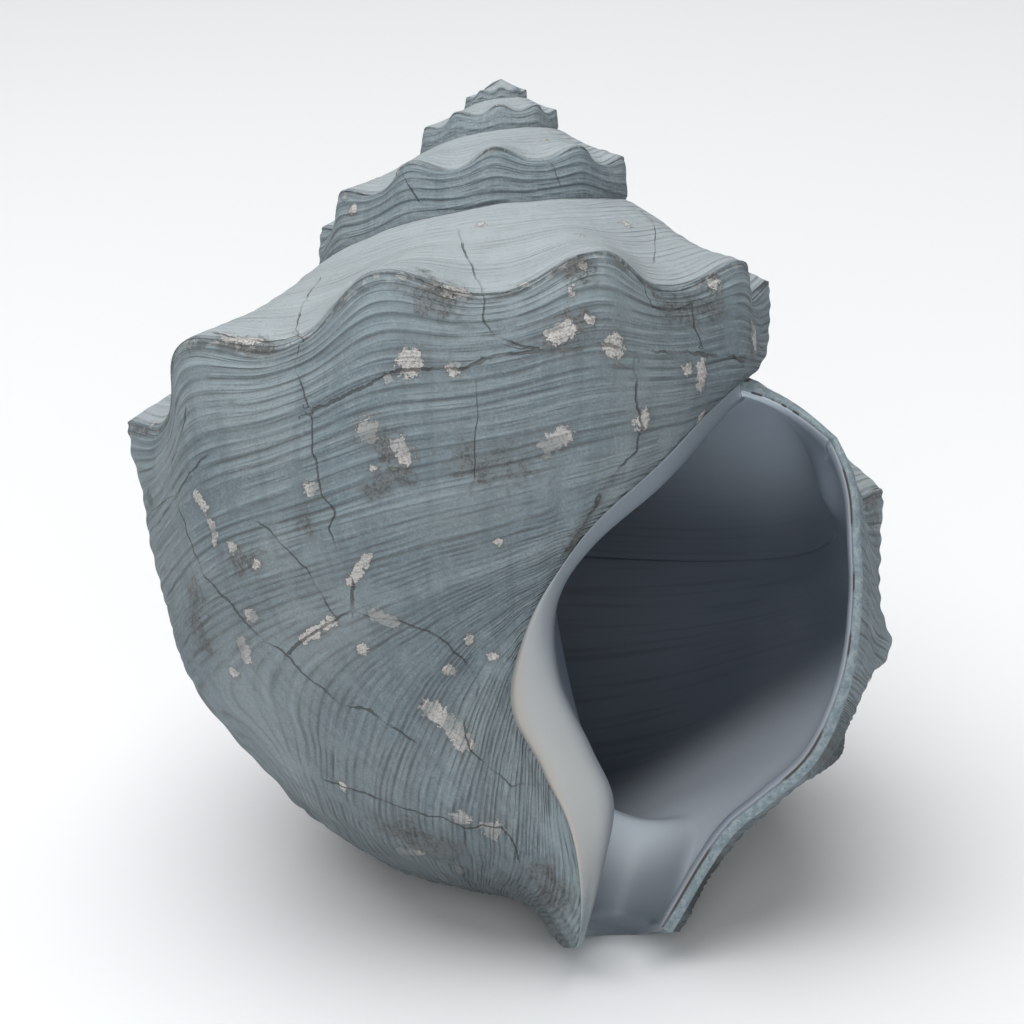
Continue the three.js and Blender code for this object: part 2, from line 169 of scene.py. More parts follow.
def curve(x, y, at):
    """Smooth curves y[..., i] over x[i], read at one place each."""
    x = np.asarray(x, float)
    y = np.asarray(y, float)
    at = np.asarray(at, float)
    y = np.broadcast_to(y, at.shape + y.shape[-1:]) if y.ndim == 1 else y
    m = slopes(x, y)
    i = np.clip(np.searchsorted(x, at) - 1, 0, len(x) - 2)
    h = x[i + 1] - x[i]
    t = (at - x[i]) / h
    s = 1 - t

    def pick(values, k):
        return np.take_along_axis(values, k[..., None], -1)[..., 0]

    return ((1 + 2 * t) * s * s * pick(y, i) + t * s * s * h * pick(m, i)
            + t * t * (3 - 2 * t) * pick(y, i + 1) - t * t * s * h * pick(m, i + 1))


PROFILE_ANGLES = np.array([p[0] for p in PROFILES], float)
PROFILE_RADIUS = np.array([p[1] for p in PROFILES], float)
PROFILE_DEPTH = np.array([p[2] for p in PROFILES], float)


def side(angle, station):
    """Radius and depth below the shoulder, without knobs."""
    angle, station = np.broadcast_arrays(np.asarray(angle, float), np.asarray(station, float))
    within = np.clip(angle, PROFILE_ANGLES[0], LIP)
    turns = np.minimum(angle - PROFILE_ANGLES[0], 0) / TURN
    every, back = np.unique(within, return_inverse=True)
    back = back.reshape(within.shape)
    values = []
    for table, growth in ((PROFILE_RADIUS, GROWTH_RADIUS), (PROFILE_DEPTH, GROWTH_DEPTH)):
        rows = np.stack([curve(PROFILE_ANGLES, column, every) for column in table.T], -1)
        values.append(curve(STATIONS, rows[back], station) * np.exp(growth * turns))
    values[1] = values[1] + TIP_SINK * (1 - np.exp(GROWTH_DEPTH * turns))
    return values


def knob(angle):
    """1 on top of a shoulder knob, 0 in the hollow between two."""
    i = np.clip(np.searchsorted(KNOBS, angle) - 1, 0, len(KNOBS) - 2)
    phase = np.where(angle < KNOBS[0], (angle - KNOBS[0]) / KNOB_STEP,
                     (angle - KNOBS[i]) / (KNOBS[i + 1] - KNOBS[i]))
    return (0.5 + 0.5 * np.cos(2 * np.pi * phase)) ** KNOB_SHARPNESS


def wall(angle, station, hollows=False):
    radius, depth = side(angle, station)
    shoulder = side(angle, 0)[0]
    sunk = -1 if hollows else knob(angle) - 1
    reach = UP_REACH_INSIDE if hollows else UP_REACH
    out = KNOB_OUT * shoulder * sunk * np.exp(-(station / OUT_REACH) ** OUT_FALL)
    up = KNOB_UP * shoulder * sunk * np.exp(-(station / reach) ** UP_FALL)
    if not hollows:
        for a, at, height, half_turn, half_station in LOWER_KNOBS:
            out = out + height * np.exp(-((angle - a) / half_turn) ** 2
                                        - ((station - at) / half_station) ** 2)
    dip = (SUTURE_DIP * depth * np.sin(np.radians(angle)) * smooth(station / SUTURE)
           * smooth((DIP_ENDS - angle) / DIP_FADES))
    return radius + out, depth - up + dip


def outside(angle, v, hollows=False):
    """v runs from -1 at the upper suture to 0 at the shoulder to 1 at the end of the canal."""
    angle, v = np.broadcast_arrays(np.asarray(angle, float), np.asarray(v, float))
    low_radius, low_depth = wall(angle, np.clip(v, 0, 1), hollows)
    along = np.clip(v + 1, 0, 1)
    top_radius, top_depth = wall(angle - TURN, np.full(v.shape, SUTURE), hollows)
    radius, depth = side(angle, 0)
    bow = mix(RAMP_SAG, LIP_SAG, smooth((angle - LIP_SAG_FROM) / (LIP - LIP_SAG_FROM)))
    sag = bow * np.hypot(radius - top_radius, depth - top_depth) * np.sin(np.pi * along)
    sunk = -1 if hollows else knob(angle) - 1
    ramp_radius = mix(top_radius, radius, along) + KNOB_OUT * radius * sunk * along ** RAMP_OUT_POWER
    ramp_depth = mix(top_depth, depth, along) + sag - KNOB_UP * radius * sunk * along ** RAMP_UP_POWER
    below = v >= 0
    return np.where(below, low_radius, ramp_radius), np.where(below, low_depth, ramp_depth)


def place(radius, depth, angle):
    bend = BEND_BY * smooth((depth - BEND_FROM) / BEND_OVER)
    a = np.radians(angle)
    return np.stack([bend + radius * np.cos(a), radius * np.sin(a), depth + 0 * a], -1)


def on_outside(angle, v):
    return place(*outside(angle, v), angle)


def inside(angle, v, thickness):
    """Outside profile moved into the wall, without knobs except just behind the lip."""
    plain = smooth((LIP - angle) / SCALLOPS_END)

    def at(w):
        return [mix(a, b, plain) for a, b in zip(outside(angle, w), outside(angle, w, True))]

    step = 0.004
    r, z = at(v)
    r1, z1 = at(np.clip(v - step, -1, 1))
    r2, z2 = at(np.clip(v + step, -1, 1))
    length = np.hypot(r2 - r1, z2 - z1)
    return r - thickness * (z2 - z1) / length, z + thickness * (r2 - r1) / length


def column_angle(station):
    return curve(COLUMN_STATION, COLUMN_ANGLE, station)


def lip_station(place01):
    return 2 * place01 / LIP_END - 1


def column_place(station):
    return COLUMN_TIP + (1 - COLUMN_TIP) * (1 - station) / (1 - SUTURE)


ROUND = CANAL_ROUND + [column_place(s) for s in reversed(COLUMN_STATION)]


def mouth_edge(place01):
    """Where the outside ends round the mouth, as angle and v."""
    station = np.clip(1 - (1 - SUTURE) * (place01 - COLUMN_TIP) / (1 - COLUMN_TIP), SUTURE, 1)
    on_lip = place01 <= LIP_END
    on_canal = ~on_lip & (place01 < COLUMN_TIP)
    across = (place01 - LIP_END) / (COLUMN_TIP - LIP_END)
    angle = np.where(on_lip, LIP, np.where(on_canal, mix(LIP, COLUMN_ANGLE[-1], across),
                                           column_angle(station)))
    v = np.where(on_lip, lip_station(place01), np.where(on_canal, 1, station))
    return angle, v


def hollow_outer(angle, sweep, v):
    reach = 1 - CANAL_SHARE * smooth(sweep / CANAL_LEAVES)
    at = np.maximum(np.where(v > 0, v * reach, v), CORNER - 1)
    return inside(angle, at, WALL + WALL_THICKENS * smooth(sweep / THICKENS_OVER))


def hollow_column(angle, sweep, place01):
    ones = np.ones(place01.shape)
    low_radius, low_depth = hollow_outer(angle, sweep, ones)
    corner = hollow_outer(angle, sweep, -ones)
    core_radius, core_depth = side(angle - TURN, CORE_STATION * ones)
    height = np.maximum(low_depth - core_depth, COLUMN_LEAST)
    column = COLUMN_RADIUS * np.exp(-sweep / COLUMN_NARROWS)
    knots = [(low_radius * share, low_depth - up) for share, up in FLOOR_KNOTS]
    knots += [(column + extra, low_depth - share * height) for extra, share in COLUMN_FLARE]
    knots.append((np.maximum(core_radius + CORE_GAP, column), core_depth))
    for station in UNDER_LAST_TURN:
        radius, depth = side(angle - TURN, station * ones)
        knots.append((radius + UNDER_OUT, depth + UNDER_DOWN))
    knots.append(corner)
    at = np.clip(place01, LIP_END, 1)
    return [curve(ROUND, np.stack([p[k] + 0 * ones for p in knots], -1), at) for k in (0, 1)]


def hollow(sweep, place01):
    """Wall of the hollow, swept back from the mouth by some degrees."""
    sweep, place01 = np.broadcast_arrays(np.asarray(sweep, float), np.asarray(place01, float))
    angle = LIP - sweep
    on_lip = place01 <= LIP_END
    outer = place(*hollow_outer(angle, sweep, lip_station(np.minimum(place01, LIP_END))), angle)
    lip = np.array([LIP])
    edge = np.array(INNER_EDGE, float)
    edge[0] = place(*hollow_outer(lip, 0, np.array([1.0])), lip)[0]
    edge[-1] = place(*hollow_outer(lip, 0, np.array([-1.0])), lip)[0]
    at = np.clip(place01, LIP_END, 1)
    front = np.stack([curve(ROUND, edge[:, k], at) for k in range(3)], -1)
    away = np.minimum(sweep, DRIFT_ENDS)[..., None]
    column = smooth((at - CANAL_END) / DRIFT_CHANGES)[..., None]
    front = front + mix((CANAL_DRIFT + CANAL_DRIFT_GROWS * away) * away, COLUMN_DRIFT * away, column)
    deep = place(*hollow_column(angle, sweep, place01), angle)
    free = smooth((at - LIP_END) / FREE_AT_CANAL) * smooth((1 - at) / FREE_AT_SUTURE)
    joined = mix(1, smooth(sweep / COLUMN_JOINS), free)[..., None]
    return np.where(on_lip[..., None], outer, mix(front, deep, joined))


def unit(vectors):
    return vectors / np.linalg.norm(vectors, axis=-1, keepdims=True)


def rim(place01, t):
    """Rounded edge between the outside (t 0) and the hollow (t 1)."""
    start = on_outside(*mouth_edge(place01))
    end, further = hollow(np.array([[0.0], [RIM_AHEAD]]), place01[None, :])
    inward = unit(further - end)
    on_lip = (1 - smooth((place01 - LIP_END) / 0.06))[:, None]
    past_lip = smooth((place01 - LIP_END) / 0.03)
    past_canal = smooth((place01 - CANAL_END) / 0.03)
    on_canal = (past_lip * (1 - past_canal))[:, None]
    way = unit(mix(mix(COLUMN_RIM_WAY, -inward, on_lip), CANAL_RIM_WAY, on_canal))
    near_suture = smooth((1 - place01) / CORNER)[:, None]
    full = np.where(on_lip > 0.5, RIM_LIP, RIM_COLUMN)
    height = mix(mix(RIM_LEAST, full, near_suture), RIM_LEAST, on_canal)
    t = np.asarray(t, float)[:, None, None]
    bulge = COLUMN_BULGE * t ** BULGE_START * (1 - t) ** BULGE_END
    shape = np.where(place01[:, None] > COLUMN_TIP, bulge, np.sin(np.pi * t) ** LIP_ROUNDNESS)
    split = SPLIT_DEPTH * np.exp(-((t - SPLIT_AT) / SPLIT_HALF) ** 2) * on_lip
    return mix(start, end, t) + way * (height * shape - split)


# The mesh. Rows of one turn, back from the lip: fine round the lip and on the front, wider on the back.
ROWS = np.concatenate([np.arange(0, 36, 1.8), np.arange(36, 192, 3.9), np.arange(192, 359.5, 1.05)])
RAMP_COLUMNS = 32
UPPER_COLUMNS = 80
LOWER_COLUMNS = 150
RAMP_CROWDING = 0.8
UPPER_CROWDING = 1.15
FULL_FROM = 22.0
HALF_FROM = -345.0
ARC_STEP = 5.0
ARC_STATIONS = 161
PEAK_LIFT = 3

points = []  # drawing units
faces = []
corner_rows = []  # for each face corner: turns, band, part (0 outside, 1 mouth)
vertex_rows = []  # for each point: angle, v or place, sweep or rim, part


def add(angle, v, xyz, deep=0.0, part=0):
    first = len(points)
    n = len(xyz)
    points.extend(xyz)
    values = np.empty((n, 4))
    values[:, 0], values[:, 1], values[:, 2], values[:, 3] = angle, v, deep, part
    vertex_rows.extend(values)
    return list(range(first, first + n))


def strip(low, high):
    """Faces between two rows of (key, point, corner values); both hold the first and last key."""
    shared = sorted({k for k, _, _ in low} & {k for k, _, _ in high})
    at_low = {k: i for i, (k, _, _) in enumerate(low)}
    at_high = {k: i for i, (k, _, _) in enumerate(high)}
    for a, b in zip(shared[:-1], shared[1:]):
        corners = low[at_low[a]:at_low[b] + 1][::-1] + high[at_high[a]:at_high[b] + 1]
        faces.append([p for _, p, _ in corners])
        corner_rows.extend(c for _, _, c in corners)


def ring_join(a, b):
    """Triangles between two rings of (place, point, corner values) with different counts."""
    i = j = 0
    while i < len(a) or j < len(b):
        next_a = a[i + 1][0] if i + 1 < len(a) else 1.0
        next_b = b[j + 1][0] if j + 1 < len(b) else 1.0
        use_a = j >= len(b) or (i < len(a) and next_a <= next_b)
        p, q = a[i % len(a)], b[j % len(b)]
        if use_a:
            i += 1
            corners = [p, q, a[i % len(a)]]
        else:
            j += 1
            corners = [p, q, b[j % len(b)]]
        faces.append([c[1] for c in corners])
        corner_rows.extend(c[2] for c in corners)


def arc_table():
    """Share of the way from the shoulder to the canal end, along the wall, at each station."""
    angles = np.arange(START - ARC_STEP, LIP + ARC_STEP + 1, ARC_STEP)
    stations = np.linspace(0, 1, ARC_STATIONS)
    r, z = side(angles[:, None], stations[None, :])
    way = np.cumsum(np.hypot(np.diff(r, axis=1), np.diff(z, axis=1)), 1)
    way = np.concatenate([np.zeros((len(angles), 1)), way], 1)
    return angles, stations, way / way[:, -1:]


ARC = arc_table()


def band_at(angle, v):
    """Even coordinate across the whorl: v on the ramp, then the share of the way down the wall."""
    angle, v = np.broadcast_arrays(np.asarray(angle, float), np.asarray(v, float))
    angles, stations, share = ARC
    x = np.clip((angle - angles[0]) / (angles[1] - angles[0]), 0, len(angles) - 1.001)
    y = np.clip(np.clip(v, 0, 1) * (len(stations) - 1), 0, len(stations) - 1.001)
    i, j = x.astype(int), y.astype(int)
    fx, fy = x - i, y - j
    down = (share[i, j] * (1 - fx) * (1 - fy) + share[i + 1, j] * fx * (1 - fy)
            + share[i, j + 1] * (1 - fx) * fy + share[i + 1, j + 1] * fx * fy)
    return np.where(v < 0, v, down)


def coil_mesh():
    per_turn = len(ROWS)
    turns = int(np.ceil((LIP - START) / TURN))
    back = np.concatenate([ROWS + TURN * k for k in range(turns)])
    angles = (LIP - back[back <= LIP - START])[::-1]
    rows = len(angles)
    ramp = -1 + np.linspace(0, 1, RAMP_COLUMNS, endpoint=False) ** RAMP_CROWDING
    upper = SUTURE * np.linspace(0, 1, UPPER_COLUMNS, endpoint=False) ** UPPER_CROWDING
    across = np.concatenate([ramp, upper])
    last_key = len(across)
    grid = []
    for angle in angles:
        step = 1 if angle >= FULL_FROM else 2 if angle >= HALF_FROM else 4
        grid.append(list(range(0, last_key, step)))
    flat_angle = np.concatenate([np.full(len(k), a) for a, k in zip(angles, grid)])
    flat_v = np.concatenate([across[k] for k in grid])
    ids = add(flat_angle, flat_v, on_outside(flat_angle, flat_v))
    bands = band_at(flat_angle, flat_v)
    bottom = band_at(angles, np.full(rows, SUTURE))
    table, at = [], 0
    for i, keys in enumerate(grid):
        table.append([(k, ids[at + n], (angles[i] / TURN, bands[at + n], 0.0))
                      for n, k in enumerate(keys)])
        at += len(keys)

    stations = mix(SUTURE, 1, np.linspace(0, 1, LOWER_COLUMNS + 1))
    along = np.append(0, (angles[-per_turn:] - (LIP - TURN)) / TURN)
    low_angle = mix(column_angle(stations)[:, None], LIP, along[None, :])
    low_v = np.broadcast_to(stations[:, None], low_angle.shape)
    flat = np.arange(low_angle.size).reshape(low_angle.shape)
    use = np.ones(low_angle.size, bool)
    use[0] = False
    low_ids = add(low_angle.ravel()[use], low_v.ravel()[use],
                  on_outside(low_angle.ravel()[use], low_v.ravel()[use]))
    low_ids = np.array([table[-1][0][1]] + low_ids)[flat]
    low_band = band_at(low_angle, low_v)

    def low_corner(j, i):
        return (j, int(low_ids[j, i]), (low_angle[j, i] / TURN, low_band[j, i], 0.0))

    for i in range(rows):
        if i + per_turn < rows:
            point = table[i + per_turn][0][1]
        else:
            point = int(low_ids[0, i + per_turn - rows + 1])
        table[i].append((last_key, point, (angles[i] / TURN, bottom[i], 0.0)))
    for i in range(rows - 1):
        strip(table[i], table[i + 1])
    columns = [[low_corner(j, i) for j in range(LOWER_COLUMNS + 1)]
               for i in range(low_angle.shape[1])]
    for low, high in zip(columns[:-1], columns[1:]):
        strip(low, high)

    loop = [table[i][0] for i in range(per_turn + 1)] + table[0][-2:0:-1]
    first = points[loop[0][1]]
    peak = add([START - ARC_STEP], [-1.0], [np.array([0, 0, first[2] - PEAK_LIFT])])[0]
    for a, b in zip(loop, loop[1:] + loop[:1]):
        faces.append([peak, b[1], a[1]])
        corner_rows.extend([a[2], b[2], a[2]])

    edge = [((v + 1) * LIP_END / 2, c[1]) for v, c in zip(across, table[-1])]
    edge += [((stations[j] + 1) * LIP_END / 2, int(low_ids[j, -1]))
             for j in range(LOWER_COLUMNS + 1)]
    edge += [(mix(LIP_END, COLUMN_TIP, 1 - along[i]), int(low_ids[-1, i]))
             for i in range(len(along) - 2, 0, -1)]
    edge += [(column_place(stations[j]), int(low_ids[j, 0])) for j in range(LOWER_COLUMNS, 0, -1)]
    return [(p, i, (p, 0.0, 1.0)) for p, i in edge]


AROUND = np.concatenate([
    np.linspace(0, LIP_END, 110, endpoint=False),
    np.linspace(LIP_END, COLUMN_TIP, 16, endpoint=False),
    np.linspace(COLUMN_TIP, 1, 100, endpoint=False),
])
RIM_STEPS = [0.04, 0.12, 0.22, 0.34, 0.44, 0.5, 0.56, 0.62, 0.7, 0.8, 0.9]
SWEEPS = np.concatenate([[0, 1.5, 3.5, 6], np.arange(9, 60, 4), np.arange(60, 140, 7),
                         np.arange(140, SWEEP_END, 14), [SWEEP_END]])
CAP = [(0.8, 0.5), (0.45, 0.85)]  # size, share of the way to the end
DEPTH_SWEEP = 100  # degrees of sweep for each step of depth
CAP_STEP = 5
END_DEPTH = 4.0
FILLET_PASSES = 30


def ring(xyz, depth, deep):
    ids = add(AROUND, np.zeros(len(AROUND)), xyz, deep, 1)
    return [(p, i, (p, depth, 1.0)) for p, i in zip(AROUND, ids)]


def round_corner(xyz, sweep):
    """Fillets where the two sides of the hollow meet along the suture, and along the canal."""
    suture = smooth((0.05 - np.minimum(AROUND, 1 - AROUND)) / 0.03) * smooth((sweep - 3) / 20)
    canal = smooth((0.045 - np.abs(AROUND - 0.55)) / 0.02) * smooth(sweep / 9)
    share = np.maximum(suture, canal)[:, None]
    for _ in range(FILLET_PASSES):
        xyz = mix(xyz, (np.roll(xyz, 1, 0) + np.roll(xyz, -1, 0)) / 2, share)
    return xyz


def mouth_mesh(edge):
    rings = [edge]
    for t, xyz in zip(RIM_STEPS, rim(AROUND, RIM_STEPS)):
        rings.append(ring(xyz, t, t))
    for sweep, xyz in zip(SWEEPS, hollow(SWEEPS[:, None], AROUND[None, :])):
        xyz = round_corner(xyz, sweep)
        depth = 1 + sweep / DEPTH_SWEEP
        rings.append(ring(xyz, depth, depth))
    last = np.array([points[c[1]] for c in rings[-1]])
    centre = last.mean(0)
    end = hollow(np.full(AROUND.shape, CAP_SWEEP), AROUND).mean(0)
    for n, (size, along) in enumerate(CAP):
        depth = 1 + (SWEEP_END + CAP_STEP * n) / DEPTH_SWEEP
        rings.append(ring(centre + (last - centre) * size + (end - centre) * along, depth, depth))
    for a, b in zip(rings[:-1], rings[1:]):
        ring_join(a, b)
    peak = add([0.5], [0.0], [end], END_DEPTH, 1)[0]
    tail = rings[-1]
    for a, b in zip(tail, tail[1:] + tail[:1]):
        faces.append([a[1], peak, b[1]])
        corner_rows.extend([a[2], a[2], b[2]])


# The relief and the marks.
SEED = 7
RIDGES = 100  # fine spiral ridges from the shoulder to the canal end
RAMP_RIDGES = 40
RIDGE_LIFT = 0.03
RIDGE_SLANT = 0.0034
SLANT_EASES = 0.75
FULL_SIZE_FROM = 60
SOFT_SIZE, ROUGH_SIZE = 70, 26
SOFT_HEIGHT, ROUGH_HEIGHT = 3.4, 2.2
CORD_WIDTH = 3.6  # in ridges
CORD_HEIGHT, RAMP_CORD_HEIGHT = 0.75, 0.35
FOLDS, FOLD_HEIGHT = 27, 1.2
KEEL_CUT, UNDER_KEEL_CUT, SEAM_CUT = 1.8, 0.8, 2.6
CHALK_LIFT = 1.6
# width of each crack and its run
CRACKS = [
    (1.0, [(126, 0.215), (118, 0.21), (112, 0.2), (109, 0.195), (101, 0.2), (98, 0.21), (93, 0.195),
     (84, 0.195), (78, 0.205), (72, 0.2), (66, 0.22), (58, 0.225), (48, 0.235), (42, 0.25),
     (39, 0.245), (34, 0.27), (20, 0.273)]),
    (0.62, [(138, -0.61), (134, -0.345), (130, -0.085), (127, 0.02), (128, 0.125), (125, 0.21),
     (125, 0.275), (124, 0.35), (122, 0.385), (124, 0.405), (123, 0.44)]),
    (0.5, [(102, -0.705), (98, -0.39), (94, -0.045), (94, 0.11), (92, 0.15), (90, 0.165), (84, 0.19)]),
    (0.75, [(66, 0.22), (65, 0.285), (64, 0.335), (62, 0.39), (62, 0.435), (67, 0.475), (70, 0.51)]),
    (0.45, [(62, 0.06), (61, 0.11), (56, 0.12), (50, 0.1), (50, 0.165), (48, 0.215)]),
    (0.75, [(150, 0.13), (154, 0.17), (160, 0.18), (160, 0.225), (158, 0.265), (155, 0.36), (150, 0.425),
     (146, 0.485), (143, 0.53), (141, 0.58), (138, 0.63), (134, 0.655), (130, 0.71)]),
    (0.45, [(146, 0.22), (158, 0.235), (180, 0.2)]),
    (0.5, [(138, 0.345), (132, 0.42), (130, 0.445), (128, 0.53)]),
    (0.6, [(160, 0.675), (156, 0.71), (150, 0.755), (144, 0.795), (142, 0.815), (134, 0.825),
     (128, 0.84), (128, 0.86), (132, 0.875)]),
    (0.4, [(142, 0.815), (152, 0.832)]),
    (0.7, [(148, -0.05), (144, -0.055), (140, -0.03), (137, -0.035), (133, -0.045), (129, -0.035)]),
    (0.6, [(116, -0.05), (108, -0.03), (105, 0.005), (102, 0.012), (100, 0.01), (96, 0.0)]),
    (0.45, [(-288, 0.005), (-293, 0.265)]),
    (0.35, [(95, 0.235), (95, 0.31), (96, 0.41)]),
    (0.35, [(30, -0.845), (47, -0.48), (54, -0.255)]),
    (0.45, [(-232, -0.003), (-235, 0.114), (-240, 0.248)]),
    (1.2, [(67, 0.478), (68.2, 0.5), (70, 0.524), (72, 0.548), (75, 0.575), (77.8, 0.608)]),
]
FORKS = [
    (0.8, [(122, 0.5), (124, 0.535), (129, 0.535), (138, 0.535), (142, 0.54)]),
    (0.6, [(124, 0.535), (121, 0.555), (116, 0.58), (111, 0.61), (108, 0.64), (104, 0.685), (104, 0.71),
     (108, 0.725), (114, 0.735), (118, 0.765), (114, 0.805), (112, 0.825), (106, 0.835), (98, 0.855)]),
]
# radius of each chalky patch and its run
CHALK = [
    (13, [(106, 0.18)]), (5, [(110, 0.2)]), (7, [(99, 0.205)]), (5, [(141, -0.02), (136, -0.03)]),
    (5, [(107, 0.01)]), (6, [(100, 0.01), (97, 0)]), (11, [(114, 0.28)]),
    (8, [(109, 0.32), (108, 0.34)]), (4, [(114, 0.34)]), (3, [(140, 0.15)]), (11, [(70, 0.205)]),
    (10, [(62, 0.375)]), (7, [(52, 0.275)]), (8, [(48, 0.275), (47, 0.32)]), (7, [(42, 0.405)]),
    (9, [(81, 0.17), (79, 0.16)]), (5, [(75, 0.145)]), (5, [(76, 0.03)]),
    (3, [(78, 0.07), (78, 0.095)]), (5, [(86, 0)]), (9, [(82, 0.385), (79, 0.375)]),
    (6, [(44, 0.04)]), (8, [(30, 0.175), (24, 0.22)]), (8, [(126, 0.335)]),
    (5, [(118, 0.47), (122, 0.495)]), (6, [(129, 0.535), (136, 0.535)]),
    (6, [(120, 0.555), (117, 0.58)]), (7, [(145, 0.465)]), (7, [(150, 0.49), (152, 0.51)]),
    (6, [(158, 0.51)]), (6, [(126, 0.59)]), (6, [(151, 0.265), (150, 0.285)]),
    (5, [(149, 0.31), (149, 0.335)]), (6, [(145, 0.36)]), (5, [(140, 0.405)]),
    (9, [(120, 0.695), (118, 0.73), (118, 0.755)]), (5, [(102, 0.65)]), (7, [(110, 0.67)]),
    (5, [(97, 0.69)]), (9, [(139, 0.805)]), (10, [(132, 0.835)]), (5, [(158, 0.695)]),
    (6, [(170, 0.78), (166, 0.795)]), (6, [(166, 0.835)]), (4, [(92, 0.525)]), (5, [(52, -0.65)]),
    (4, [(72, -0.42)]), (4, [(96, -0.74)]), (5, [(174, -0.02)]), (6, [(-231, -0.02)]),
    (4, [(-206, 0.055)]), (5, [(-210, 0.156)]),
]
STAINS = [
    (20, [(80, 0.16)]), (16, [(46, 0.11)]), (24, [(88, 0.39), (95, 0.385)]),
    (20, [(112, 0.3), (109, 0.345)]), (14, [(128, 0.38)]), (12, [(114, 0.38)]),
    (20, [(160, 0.395), (162, 0.445)]), (14, [(176, 0.185)]), (16, [(27, 0.19)]),
    (20, [(144, 0.385)]), (12, [(76, 0.145)]), (10, [(138, 0.005), (134, 0)]),
    (16, [(48, 0.09), (56, 0.115)]), (20, [(104, 0.035), (100, 0.05)]),
    (22, [(159, 0.765), (158, 0.81)]), (20, [(126, 0.93), (126, 0.91)]), (16, [(76, 0.05)]),
    (7, [(66.5, 0.48), (68.5, 0.505), (71, 0.535), (75, 0.575)]),
]
# guesses: angle, v and steps of each wandering crack on the far side, then the angle of each
# crack over its ramp
FAR_CRACKS = [(205, 0.22, 9), (245, 0.05, 7), (262, 0.62, 8), (300, 0.25, 9),
              (335, 0.6, 7), (225, 0.7, 6), (350, 0.12, 5), (-60, 0.1, 4)]
FAR_RAMP_CRACKS = [214, 263, 318, 352]
# how many marks, then ranges of radius, angle and v
FAR_CHALK = (34, (4, 11), (190, 380), (-0.05, 0.9))
FAR_RAMP_CHALK = (18, (3, 8), (185, 380), (-0.9, -0.05))
SPIRE_CHALK = (12, (2.5, 5), (-560, 20), (-0.6, 0.25))
FAR_STAINS = (16, (12, 24), (185, 380), (0, 0.9))
SPIRE_STAINS = (10, (6, 12), (-560, 20), (-0.1, 0.3))


def lattice(seed, cells=24):
    return np.random.default_rng(seed).random((cells, cells, cells))


def noise(xyz, scale, table):
    """Smooth noise from 0 to 1 with features of the given size."""
    n = len(table)
    q = xyz / scale + 1000
    i = np.floor(q).astype(int)
    f = smooth(q - i)
    total = 0
    for dx in (0, 1):
        for dy in (0, 1):
            for dz in (0, 1):
                w = np.abs(1 - dx - f[:, 0]) * np.abs(1 - dy - f[:, 1]) * np.abs(1 - dz - f[:, 2])
                x, y, z = ((i + (dx, dy, dz)) % n).T
                total = total + w * table[x, y, z]
    return total


def scattered(rng, many, radii, angles, heights):
    return [(rng.uniform(*radii), [(rng.uniform(*angles), rng.uniform(*heights))])
            for _ in range(many)]


def hidden_marks(rng):
    """Guessed marks of the kinds seen in front, on the far side and all round the spire."""
    cracks, chalk = [], []
    for angle, v, steps in FAR_CRACKS:
        heading = rng.uniform(0, np.pi)
        run = [(angle, v)]
        for _ in range(steps):
            heading += rng.normal(0, 0.45)
            run.append((run[-1][0] + 5 * np.cos(heading), run[-1][1] + 0.04 * np.sin(heading)))
        cracks.append((rng.uniform(0.4, 0.8), [(a, np.clip(b, -0.9, 0.95)) for a, b in run]))
    many, radii, angles, heights = FAR_CHALK
    for _ in range(many):
        at = (rng.uniform(*angles), rng.uniform(*heights))
        radius = rng.uniform(*radii)
        chalk.append((radius, [at, (at[0] + rng.normal(0, 2), at[1] + rng.normal(0, 0.015))]))
    chalk += scattered(rng, *SPIRE_CHALK)
    stains = scattered(rng, *FAR_STAINS) + scattered(rng, *SPIRE_STAINS)
    ramp = np.random.default_rng(SEED + 2)
    for angle in FAR_RAMP_CRACKS:
        run = [(angle + ramp.normal(0, 2.5), v) for v in np.arange(-0.85, 0.15, 0.16)]
        cracks.append((ramp.uniform(0.3, 0.55), run))
    many, radii, angles, heights = FAR_RAMP_CHALK
    for _ in range(many):
        at = (ramp.uniform(*angles), ramp.uniform(*heights))
        chalk.append((ramp.uniform(*radii), [at]))
    return cracks, chalk, stains


def run_points(run):
    angles, heights = np.array(run, float).T
    return on_outside(angles, heights)


def jagged(run, rng):
    """The run with close points between, a little off the line."""
    out = []
    for (a0, v0), (a1, v1) in zip(run[:-1], run[1:]):
        start, end = run_points([(a0, v0), (a1, v1)])
        pieces = max(1, int(np.linalg.norm(end - start) / 11))
        for k in range(pieces):
            t = k / pieces
            off = rng.normal(0, 1, 2) if out else (0, 0)
            out.append((mix(a0, a1, t) + 0.2 * off[0], mix(v0, v1, t) + 0.0016 * off[1]))
    out.append(run[-1])
    return run_points(out)


def run_distance(xyz, normals, line):
    """Distance to a line of points, and the same with a sign for the side."""
    best = np.full(len(xyz), 1e9)
    signed = np.full(len(xyz), 1e9)
    for a, b in zip(line[:-1], line[1:]):
        along = b - a
        t = np.clip((xyz - a) @ along / (along @ along), 0, 1)
        away = xyz - (a + t[:, None] * along)
        d = np.linalg.norm(away, axis=1)
        near = d < best
        best[near] = d[near]
        across = np.cross(normals[near], along)
        signed[near] = np.where((away[near] * across).sum(1) < 0, -1, 1) * d[near]
    return best, signed


def spot_share(xyz, spots):
    """Distance to the nearest spot as a share of its radius."""
    best = np.full(len(xyz), 9.0)
    for radius, run in spots:
        line = run_points(run)
        if len(line) == 1:
            d = np.linalg.norm(xyz - line[0], axis=1)
        else:
            d = np.min([np.linalg.norm(xyz - mix(a, b, t), axis=1)
                        for a, b in zip(line[:-1], line[1:]) for t in np.linspace(0, 1, 5)], 0)
        best = np.minimum(best, d / radius)
    return best


